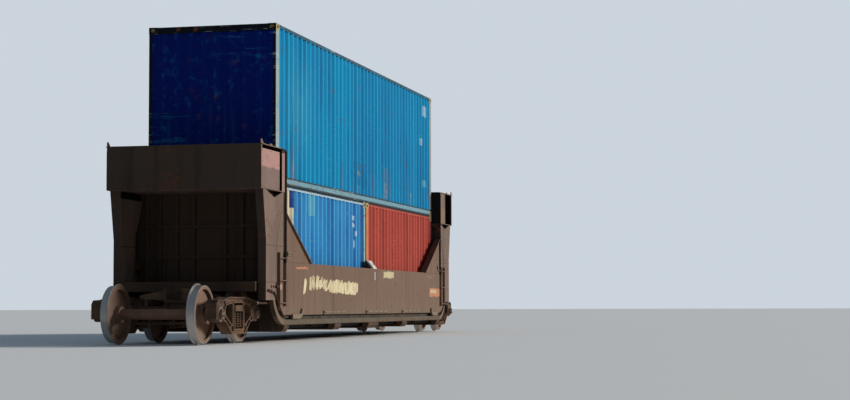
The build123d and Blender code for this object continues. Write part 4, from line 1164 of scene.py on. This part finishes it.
def deck_treads():
    """Raised studs of the tread plate on the two platforms, every other one turned across the car."""
    pitch = 0.085
    long_half = 0.017
    short_half = 0.006
    foot_z = DECK_HIGH.z - 0.0005
    crown_z = DECK_HIGH.z + 0.0035
    start_x = WELL_END + 0.115
    tread_width = 2.36
    rows = int((DECK_HIGH.x - 0.04 - start_x) / pitch)
    columns = int(tread_width / pitch)
    shape = Shape()
    for end in BOTH:
        for row in range(rows):
            for column in range(columns):
                x = end * (start_x + row * pitch)
                y = (column - (columns - 1) / 2) * pitch
                half_x, half_y = (long_half, short_half) if (row + column) % 2 else (short_half, long_half)
                corners = [(-half_x, 0), (0, -half_y), (half_x, 0), (0, half_y)]
                crown = [(x + 0.6 * dx, y + 0.6 * dy, crown_z) for dx, dy in corners]
                shape.prism(crown, [(x + dx, y + dy, foot_z) for dx, dy in corners])
    shape.finish("deck_treads", "under_steel_and_shade", "car_body", "car_paint")


def head_lugs():
    """Upright corner lugs on the heads' tops, with their foot welds, and the rivets of the blank plates."""
    outer = HEAD_HIGH.x
    lug_thickness = 0.014
    corner_lug = ((0.0, 0.0), (0.0, 0.078), (0.045, 0.078), (0.130, 0.0))
    inner_lug = ((0.62, 0.0), (0.60, 0.034), (0.50, 0.034), (0.48, 0.0))
    lugs = Shape()
    for end, side in CORNERS:
        y = side * HEAD_FACE
        for outline in (corner_lug, inner_lug):
            corners = [(end * (outer - inward), y, HEAD_TOP + rise) for inward, rise in outline]
            lugs.plate(corners, (0, -side * lug_thickness, 0))
        weld_y = y - side * (lug_thickness + 0.002)
        lugs.sweep([(end * (outer - inward), weld_y, HEAD_TOP + 0.002) for inward in (0.0, 0.13)], 0.006, 6)
    lugs.finish("head_lugs", "head_paint", "car_body", "car_paint")

    rivets = Shape()
    low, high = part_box("sign_plates")
    edges = (low.x + 0.04, high.x - 0.04)
    middle = (low.x + high.x) / 2
    for side in BOTH:
        places = [(x, z) for x in (edges[0], middle, edges[1]) for z in (low.z + 0.03, high.z - 0.03)]
        places += [(x, z) for z in (2.90, 3.12) for x in edges]
        for x, z in places:
            rivets.rivet((x, side * high.y, z), (0, side, 0), 0.011)
    rivets.finish("plate_rivets", "fastener_steel", "car_body", "sign_plate", smooth=True)


def body_welds():
    """Weld beads where the posts, gussets, heads and girders meet."""
    bead = 0.006
    thin_bead = 0.004
    girder_end = WELL_END + 0.458
    gusset_foot = WELL_END - 1.542
    corner_x = WELL_END + 0.019
    seam_z = 1.698
    seam = [(6.60, seam_z), (7.198, seam_z)]
    notch_ends = (WELL_END + 0.134, WELL_END + 1.094)
    butt_joints = (-3.05, 0.16, 3.05)
    butt_foot = 0.492
    post_edge = [(girder_end, 0.76), (girder_end, 1.80), (WELL_END + 0.022, HEAD_BOTTOM)]
    hook = [(1.002, 0.585), (0.907, 0.515), (0.797, 0.500), (0.382, 0.500), (0.382, 0.420), (0.812, 0.420)]
    shape = Shape()
    for end, side in CORNERS:
        web = side * (WEB_FACE + 0.001)
        post = side * (POST_FACE + 0.001)
        beads = [
            (web, bead, post_edge),
            (web, thin_bead, [(gusset_foot, GIRDER_TOP), (WELL_END, GIRDER_TOP)]),
            (web, bead, [(corner_x, GIRDER_TOP), (corner_x, HEAD_BOTTOM)]),
            (post, thin_bead, seam),
            (post, bead, [(WELL_END + 0.030, HEAD_BOTTOM), (notch_ends[0], HEAD_BOTTOM)]),
            (post, bead, [(notch_ends[1], HEAD_BOTTOM), (POST_HIGH.x, HEAD_BOTTOM)]),
            (web, 0.005, [(WELL_END - inward, z) for inward, z in hook]),
        ]
        for y, radius, line in beads:
            shape.sweep([(end * x, y, z) for x, z in line], radius, 6)
    for side in BOTH:
        seam_y = side * (WEB_FACE + 0.0005)
        for x in butt_joints:
            shape.sweep([(x, seam_y, butt_foot), (x, seam_y, GIRDER_TOP)], 0.0035, 6)
    shape.finish("body_welds", "weld_bead", "car_body", "car_paint", smooth=True)


def girder_bolts():
    """Bolts of the angle bars, hooked brackets, crossmember hangers and middle guides."""
    bar_face = WEB_FACE + 0.016
    block_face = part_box("web_bars")[1].y
    bars = ((-3.70, -2.16), (-0.62, 1.17), (2.43, 4.11))
    bolts_on_bar = 4
    hangers = ((0.0, 0.40), (-2.7, 0.21), (2.7, 0.21), (-6.006, 0.136), (6.006, 0.136))
    hanger_face = 1.388
    guide_x = 0.16
    guide_y = 1.338
    guide_z = 1.528
    shape = Shape()
    for side in BOTH:
        outward = (0, side, 0)
        for start, end in bars:
            for offset in (-0.035, 0.035):
                shape.bolt((start + offset, side * block_face, 0.528), outward, 0.026, 0.014)
            for index in range(1, bolts_on_bar + 1):
                x = start + 0.12 + (end - start - 0.18) * index / bolts_on_bar
                shape.bolt((x, side * bar_face, 0.5325), outward, 0.020, 0.010)
        for centre, half in hangers:
            for offset in (-0.7 * half, 0.7 * half):
                shape.bolt((centre + offset, side * hanger_face, 0.282), outward, 0.028, 0.012)
        guide_slope = (0, side * 0.148, 0.108)
        for x in (-guide_x, guide_x):
            shape.bolt((x, side * guide_y, guide_z), guide_slope, 0.026, 0.012)
    shape.finish("girder_bolts", "fastener_steel", "car_body", "car_paint", smooth=True)


def ladder_clips():
    """Angle clips with bolts that hold the ladders' stiles, and the nuts on the rung ends."""
    stile_half = 0.005
    stile_gap = 0.350
    outer = LADDER_HIGH.x - stile_half
    stiles = ((outer - stile_gap, 1), (outer, -1))
    clip_face = WEB_FACE + 0.006
    clip_half = 0.03
    rung_y = 1.440
    rung_heights = (0.700, 1.095, 1.490)
    clip_heights = (LADDER_LOW.z + 0.05, (LADDER_LOW.z + LADDER_HIGH.z) / 2, LADDER_HIGH.z - 0.05)
    shape = Shape()
    for end, side in CORNERS:
        for stile, reach in stiles:
            x0 = end * (stile + reach * stile_half)
            x1 = end * (stile + reach * 0.050)
            for z in clip_heights:
                low = (x0, side * WEB_FACE, z - clip_half)
                shape.block(low, (x1, side * clip_face, z + clip_half), 0.002)
                shape.bolt(((x0 + x1) / 2, side * clip_face, z), (0, side, 0), 0.020, 0.010)
            for z in rung_heights:
                nut_x = end * (stile - reach * stile_half)
                shape.bolt((nut_x, side * rung_y, z), (-end * reach, 0, 0), 0.014, 0.008)
    shape.finish("ladder_clips", "under_steel_and_shade", "car_body", "car_paint", smooth=True)


def grab_bars():
    """Bars that reach from the end flanges to a lug on the web, level with each ladder's top rung."""
    bar_z = 1.500
    lug_x = WELL_END - 0.170
    reach = WEB_FACE + 0.024
    lug_face = WEB_FACE + 0.026
    bar = [(WELL_END, reach), (lug_x + 0.012, reach), (lug_x, reach - 0.004), (lug_x - 0.004, WEB_FACE)]
    shape = Shape()
    for end, side in CORNERS:
        shape.sweep([(end * x, side * y, bar_z) for x, y in bar], 0.010, 8)
        low = (end * (lug_x + 0.030), side * WEB_FACE, bar_z + 0.035)
        shape.block(low, (end * (lug_x - 0.070), side * lug_face, bar_z + 0.115), 0.004)
        shape.bolt((end * (lug_x - 0.020), side * lug_face, bar_z + 0.075), (0, side, 0), 0.026, 0.012)
    shape.finish("grab_bars", "chord_steel", "car_body", "car_paint", smooth=True)


def branch_pipe():
    """The pipe that runs down the near post's foot to the chord, with its valve and clips."""
    y = -POST_FACE - 0.019
    route = [
        (-7.100, 0.915), (-6.960, 0.900), (-6.820, 0.885), (-6.720, 0.840), (-6.640, 0.765),
        (-6.560, 0.690), (-6.470, 0.615), (-6.390, 0.535), (-6.300, 0.475), (-6.180, 0.452), (-6.020, 0.450),
    ]
    pipe = Shape()
    pipe.sweep([(x, y, z) for x, z in route], 0.015, 10)
    pipe.finish("branch_pipe", "under_steel_and_shade", "car_body", "bare_steel", smooth=True)

    valve_x = -6.625
    valve_z = 0.985
    fittings = Shape()
    for x, z in (route[0], route[2], route[7], route[9]):
        fittings.rod((x - 0.020, y, z), (x + 0.020, y, z), 0.022, 8)
    for x, z in (route[1], route[5], route[8]):
        fittings.block((x - 0.012, -WEB_FACE, z - 0.030), (x + 0.012, y - 0.018, z + 0.030), 0.003)
    fittings.rod((valve_x - 0.065, y, valve_z), (valve_x + 0.065, y, valve_z), 0.022, 14)
    fittings.rod((valve_x, y, valve_z), (valve_x, y, valve_z + 0.060), 0.012, 10)
    handle_foot = (valve_x - 0.040, y - 0.006, valve_z + 0.055)
    fittings.block(handle_foot, (valve_x + 0.065, y + 0.006, valve_z + 0.069), 0.003)
    fittings.rod((valve_x, y, valve_z), (valve_x, y, valve_z - 0.185), 0.010, 10)
    for x in (-6.900, -6.790):
        fittings.bolt((x, -POST_FACE, valve_z), (0, -1, 0), 0.034, 0.016)
    fittings.finish("branch_pipe_fittings", "end_grime_and_shade", "car_body", "bare_steel", smooth=True)


def pipe_fittings():
    """Unions, clip straps and end plugs on the train-line pipe."""
    low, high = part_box("train_pipe")
    y = -1.295
    z = 0.700
    union_half = 0.035
    collar = 0.060
    strap_radius = 0.0235
    unions = (-5.2, -2.4, 0.0, 2.4, 5.2)
    straps = (-6.4, -4.5, -1.5, 1.5, 4.5, 6.4)
    shape = Shape()
    for x in unions:
        shape.rod((x - union_half, y, z), (x + union_half, y, z), 0.030, 8)
        for end in BOTH:
            shape.rod((x + end * union_half, y, z), (x + end * collar, y, z), 0.026, 16)
    for x in straps:
        strap = [(x, y + strap_radius * out, z + strap_radius * up) for out, up in half_turn()]
        shape.sweep(strap, 0.004, 6)
    for end, x in ((-1, low.x), (1, high.x)):
        shape.rod((x - end * collar, y, z), (x - end * 0.004, y, z), 0.029, 8)
    shape.finish("pipe_fittings", "fastener_steel", "car_body", "bare_steel", smooth=True)


def door_face(box, end):
    """Place along X of a container's door leaves' outer face."""
    low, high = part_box(f"{box}_castings")
    return (high.x if end > 0 else low.x) - end * DOOR_INSET


def rod_bracket(gear, face, rod_x, end, y, z):
    """A lock rod's bracket: a base plate with two bolts, and a strap round the rod."""
    reach = ROD_RADIUS + 0.003
    base = face + end * 0.005
    gear.block((face, y - 0.050, z - 0.020), (base, y + 0.050, z + 0.020), 0.0015)
    strap = [(rod_x + end * reach * out, y + reach * across, z) for out, across in half_turn()]
    gear.sweep([(face, strap[0][1], z), *strap, (face, strap[-1][1], z)], 0.004, 6)
    for offset in (-0.038, 0.038):
        gear.bolt((base, y + offset, z), (end, 0, 0), 0.014, 0.007)


def rod_cam(gear, face, rod_x, end, y, z, up):
    """The cam on a lock rod's end, between its two keepers."""
    keeper_x = rod_x + end * 0.022
    cam_low = (rod_x - end * 0.014, y - 0.034, z - 0.016)
    gear.block(cam_low, (rod_x + end * 0.020, y + 0.034, z + 0.016), 0.004)
    for keeper_y in (y - 0.055, y + 0.041):
        gear.block((face, keeper_y, z - up * 0.028), (keeper_x, keeper_y + 0.014, z + up * 0.030), 0.003)


def rod_handle(gear, face, rod_x, end, y, z):
    """The handle on a lock rod, its hub and its catch. A leaf's two handles reach towards each other."""
    inner_rod = abs(y) < 0.5
    toward_middle = -1 if y > 0 else 1
    reach = -toward_middle if inner_rod else toward_middle
    hub_x = rod_x + end * 0.004
    gear.rod((rod_x, y, z - 0.030), (rod_x, y, z + 0.030), 0.022, 14)
    grip = [(0.0, 0.018, 0.0), (0.010, 0.070, 0.0), (0.012, 0.330, -0.010), (0.012, 0.400, -0.016)]
    gear.sweep([(hub_x + end * out, y + reach * across, z + up) for out, across, up in grip], 0.009, 8)
    catch_y = y + reach * 0.400
    gear.block((face, catch_y - 0.030, z - 0.050), (hub_x, catch_y + 0.030, z - 0.028), 0.003)
    gear.block((face, catch_y - 0.035, z - 0.055), (face + end * 0.006, catch_y + 0.035, z + 0.030), 0.002)


def door_gear(box, end):
    """Lock rod brackets, cams, handles, catches and hinge pins on a container's door end."""
    low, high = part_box(f"{box}_castings")
    door_low, door_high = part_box(f"{box}_doors")
    face = door_face(box, end)
    rod_x = face + end * (ROD_RADIUS + 0.004)
    sill = low.z + 0.158
    header = high.z - 0.114
    bracket_heights = (sill + 0.32, sill + 0.86, sill + 1.42, header - 0.30)
    hinge_shares = (0.12, 0.38, 0.62, 0.88)
    gear = Shape()
    for y in ROD_PLACES:
        for z in bracket_heights:
            rod_bracket(gear, face, rod_x, end, y, z)
        rod_cam(gear, face, rod_x, end, y, sill + 0.030, 1)
        rod_cam(gear, face, rod_x, end, y, header - 0.030, -1)
        rod_handle(gear, face, rod_x, end, y, sill + (1.02 if abs(y) > 0.5 else 0.94))
    pin_x = face + end * 0.004
    for side in BOTH:
        for share in hinge_shares:
            z = door_low.z + share * (door_high.z - door_low.z)
            y = side * (door_high.y - 0.004)
            gear.rod((pin_x, y, z - 0.075), (pin_x, y, z + 0.075), 0.012, 12)
            for offset in (-0.03, 0.03):
                gear.bolt((face, side * (door_high.y - 0.060), z + offset), (end, 0, 0), 0.016, 0.008)
    gear.finish(f"{box}_door_gear", "zinc_steel", "car_body", "zinc_steel", smooth=True)


def door_seals(box, end):
    """Rubber seals round the two leaves of a container's doors."""
    door_low, door_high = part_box(f"{box}_doors")
    face = door_face(box, end)
    front = face + end * 0.004
    back = face - end * 0.030
    width = 0.016
    z0 = door_low.z - 0.005
    z1 = door_high.z + 0.005
    shape = Shape()
    for side in BOTH:
        y0 = side * 0.002
        y1 = side * (door_high.y - 0.004)
        shape.block((back, y0, z0), (front, y0 + side * width, z1), 0.002)
        shape.block((back, y1 - side * width, z0), (front, y1, z1), 0.002)
        shape.block((back, y0, z0), (front, y1, z0 + width), 0.002)
        shape.block((back, y0, z1 - width), (front, y1, z1), 0.002)
    shape.finish(f"{box}_door_seals", "seal_rubber", "car_body", "zinc_steel")


def box_top_edges():
    """The upper container's roof margins along its side rails, and the deep header over its blank end."""
    low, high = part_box("upper_box_castings")
    roof_low, roof_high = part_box("upper_box_roof")
    rail_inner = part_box("upper_box_doors")[1].y
    reach = high.x - CASTING_LENGTH
    lap = 0.002
    margins = Shape()
    for side in BOTH:
        inner = (-reach, side * (roof_high.y - lap), roof_low.z + 0.002)
        margins.block(inner, (reach, side * (rail_inner + lap), roof_low.z + 0.010))
    margins.finish("upper_box_roof_margins", "upper_blue", "car_body", "upper_box_paint")
    header = Shape()
    half = roof_high.y + lap
    header.block((low.x + 0.006, -half, high.z - 0.120), (low.x + 0.060, half, high.z - 0.062))
    header.finish("upper_box_header_plate", "upper_frame", "car_body", "upper_box_paint")


def brush_strokes():
    """The cream strokes of a wide brush on the near web: two short, then leaning ones, then a close band."""
    draw = random.Random(4)
    strokes = [(-5.04, 0.86, -4.96, 1.16), (-4.99, 0.89, -4.91, 1.12)]
    leaning_end = -3.40
    band_end = -1.40
    x = -4.66
    while x < leaning_end:
        foot = 0.96 + draw.uniform(-0.04, 0.04)
        crown = 1.24 - 0.09 * (x + 4.6) + draw.uniform(-0.06, 0.04)
        strokes.append((x, foot, x + draw.uniform(-0.04, 0.14), crown))
        x += draw.uniform(0.06, 0.12)
    while x < band_end:
        sag = 0.020 * (x + 3.35)
        foot = 0.92 - sag + draw.uniform(-0.03, 0.03)
        crown = 1.15 - sag + draw.uniform(-0.03, 0.03)
        strokes.append((x, foot, x + 0.04, crown))
        x += 0.05
    shape = Shape()
    ground = -WEB_FACE + 0.0002
    for index, (x0, z0, x1, z1) in enumerate(strokes):
        width = draw.uniform(0.08, 0.12)
        y = -WEB_FACE - 0.0012 - 0.0002 * (index % 5)
        corners = [(x0, z0), (x0 + width, z0 + 0.02), (x1 + width, z1), (x1, z1 - 0.02)]
        shape.plate([(px, y, pz) for px, pz in corners], (0, ground - y, 0))
    shape.finish("web_brush_strokes", "brush_cream", "car_body", "sign_plate")


def pale_floor():
    """Plain pale floor that runs far out."""
    shape = Shape()
    half = FLOOR_HALF
    corners = [(-half, -half), (half, -half), (half, half), (-half, half)]
    shape.mesh.faces.new([shape.mesh.verts.new((x, y, 0.0)) for x, y in corners])
    floor = add_object("floor", shape.to_data("floor"))
    material = bpy.data.materials.new("pale_floor")
    material.use_nodes = True
    shader = material.node_tree.nodes["Principled BSDF"]
    shader.inputs["Base Color"].default_value = FLOOR_COLOUR
    shader.inputs["Roughness"].default_value = 0.9
    floor.data.materials.append(material)


def key_light():
    """The sun."""
    lamp = bpy.data.lights.new("key_sun", "SUN")
    lamp.energy = SUN_STRENGTH
    lamp.angle = SUN_ANGLE
    lamp.color = SUN_COLOUR
    key = add_object("key_sun", lamp)
    key.rotation_mode = "QUATERNION"
    key.rotation_quaternion = SUN_FROM.to_track_quat("Z", "Y")


def pale_sky():
    """A dim bluish sky that lights the car, with a paler backdrop where the camera sees it."""
    world = bpy.data.worlds.new("pale_sky")
    world.use_nodes = True
    r = Recipe(world.node_tree)
    light = world.node_tree.nodes["Background"]
    light.inputs["Color"].default_value = (*SKY_COLOUR, 1.0)
    light.inputs["Strength"].default_value = SKY_STRENGTH
    backdrop = r.put("ShaderNodeBackground", {"Color": BACKDROP_COLOUR, "Strength": 1.0})
    seen = r.put("ShaderNodeLightPath").outputs["Is Camera Ray"]
    mix = r.put("ShaderNodeMixShader", {0: seen, 1: light.outputs[0], 2: backdrop.outputs[0]})
    r.feed(world.node_tree.nodes["World Output"].inputs["Surface"], mix.outputs[0])
    bpy.context.scene.world = world
    bpy.context.scene.view_settings.view_transform = "Standard"


def photo_camera():
    """The camera at the photograph's place and angle."""
    camera_data = bpy.data.cameras.new("photo_camera")
    camera_data.sensor_fit = "HORIZONTAL"
    camera_data.sensor_width = SENSOR_MM
    camera_data.lens = FOCAL_PIXELS * SENSOR_MM / PHOTO_WIDTH
    camera_data.clip_end = VIEW_REACH
    camera = add_object("photo_camera", camera_data)
    ahead = Vector((
        math.cos(CAMERA_YAW) * math.cos(CAMERA_PITCH),
        math.sin(CAMERA_YAW) * math.cos(CAMERA_PITCH),
        math.sin(CAMERA_PITCH),
    ))
    level_right = Vector((math.sin(CAMERA_YAW), -math.cos(CAMERA_YAW), 0.0))
    level_up = level_right.cross(ahead)
    right = level_right * math.cos(CAMERA_ROLL) + level_up * math.sin(CAMERA_ROLL)
    up = level_up * math.cos(CAMERA_ROLL) - level_right * math.sin(CAMERA_ROLL)
    turn = Matrix((right, up, -ahead)).transposed().to_4x4()
    camera.matrix_world = Matrix.Translation(CAMERA_PLACE) @ turn
    bpy.context.scene.camera = camera


pale_floor()
key_light()
pale_sky()
photo_camera()
car_finishes()
running_gear_finishes()
upper_box_finishes()
lower_box_finishes()
box_fitting_finishes()
dress_nodes()
for truck_name in ("a", "b"):
    coil_springs(truck_name)
    side_frame_gear(truck_name)
    brake_gear(truck_name)
    shoe_keys(truck_name)
    for number in (1, 2):
        cap_bolts(f"wheelset_{truck_name}{number}")
for box_name, door_end in (("upper_box", 1), ("blue_box", 1), ("red_box", -1)):
    door_gear(box_name, door_end)
    door_seals(box_name, door_end)
deck_treads()
head_lugs()
body_welds()
girder_bolts()
ladder_clips()
grab_bars()
branch_pipe()
pipe_fittings()
box_top_edges()
brush_strokes()
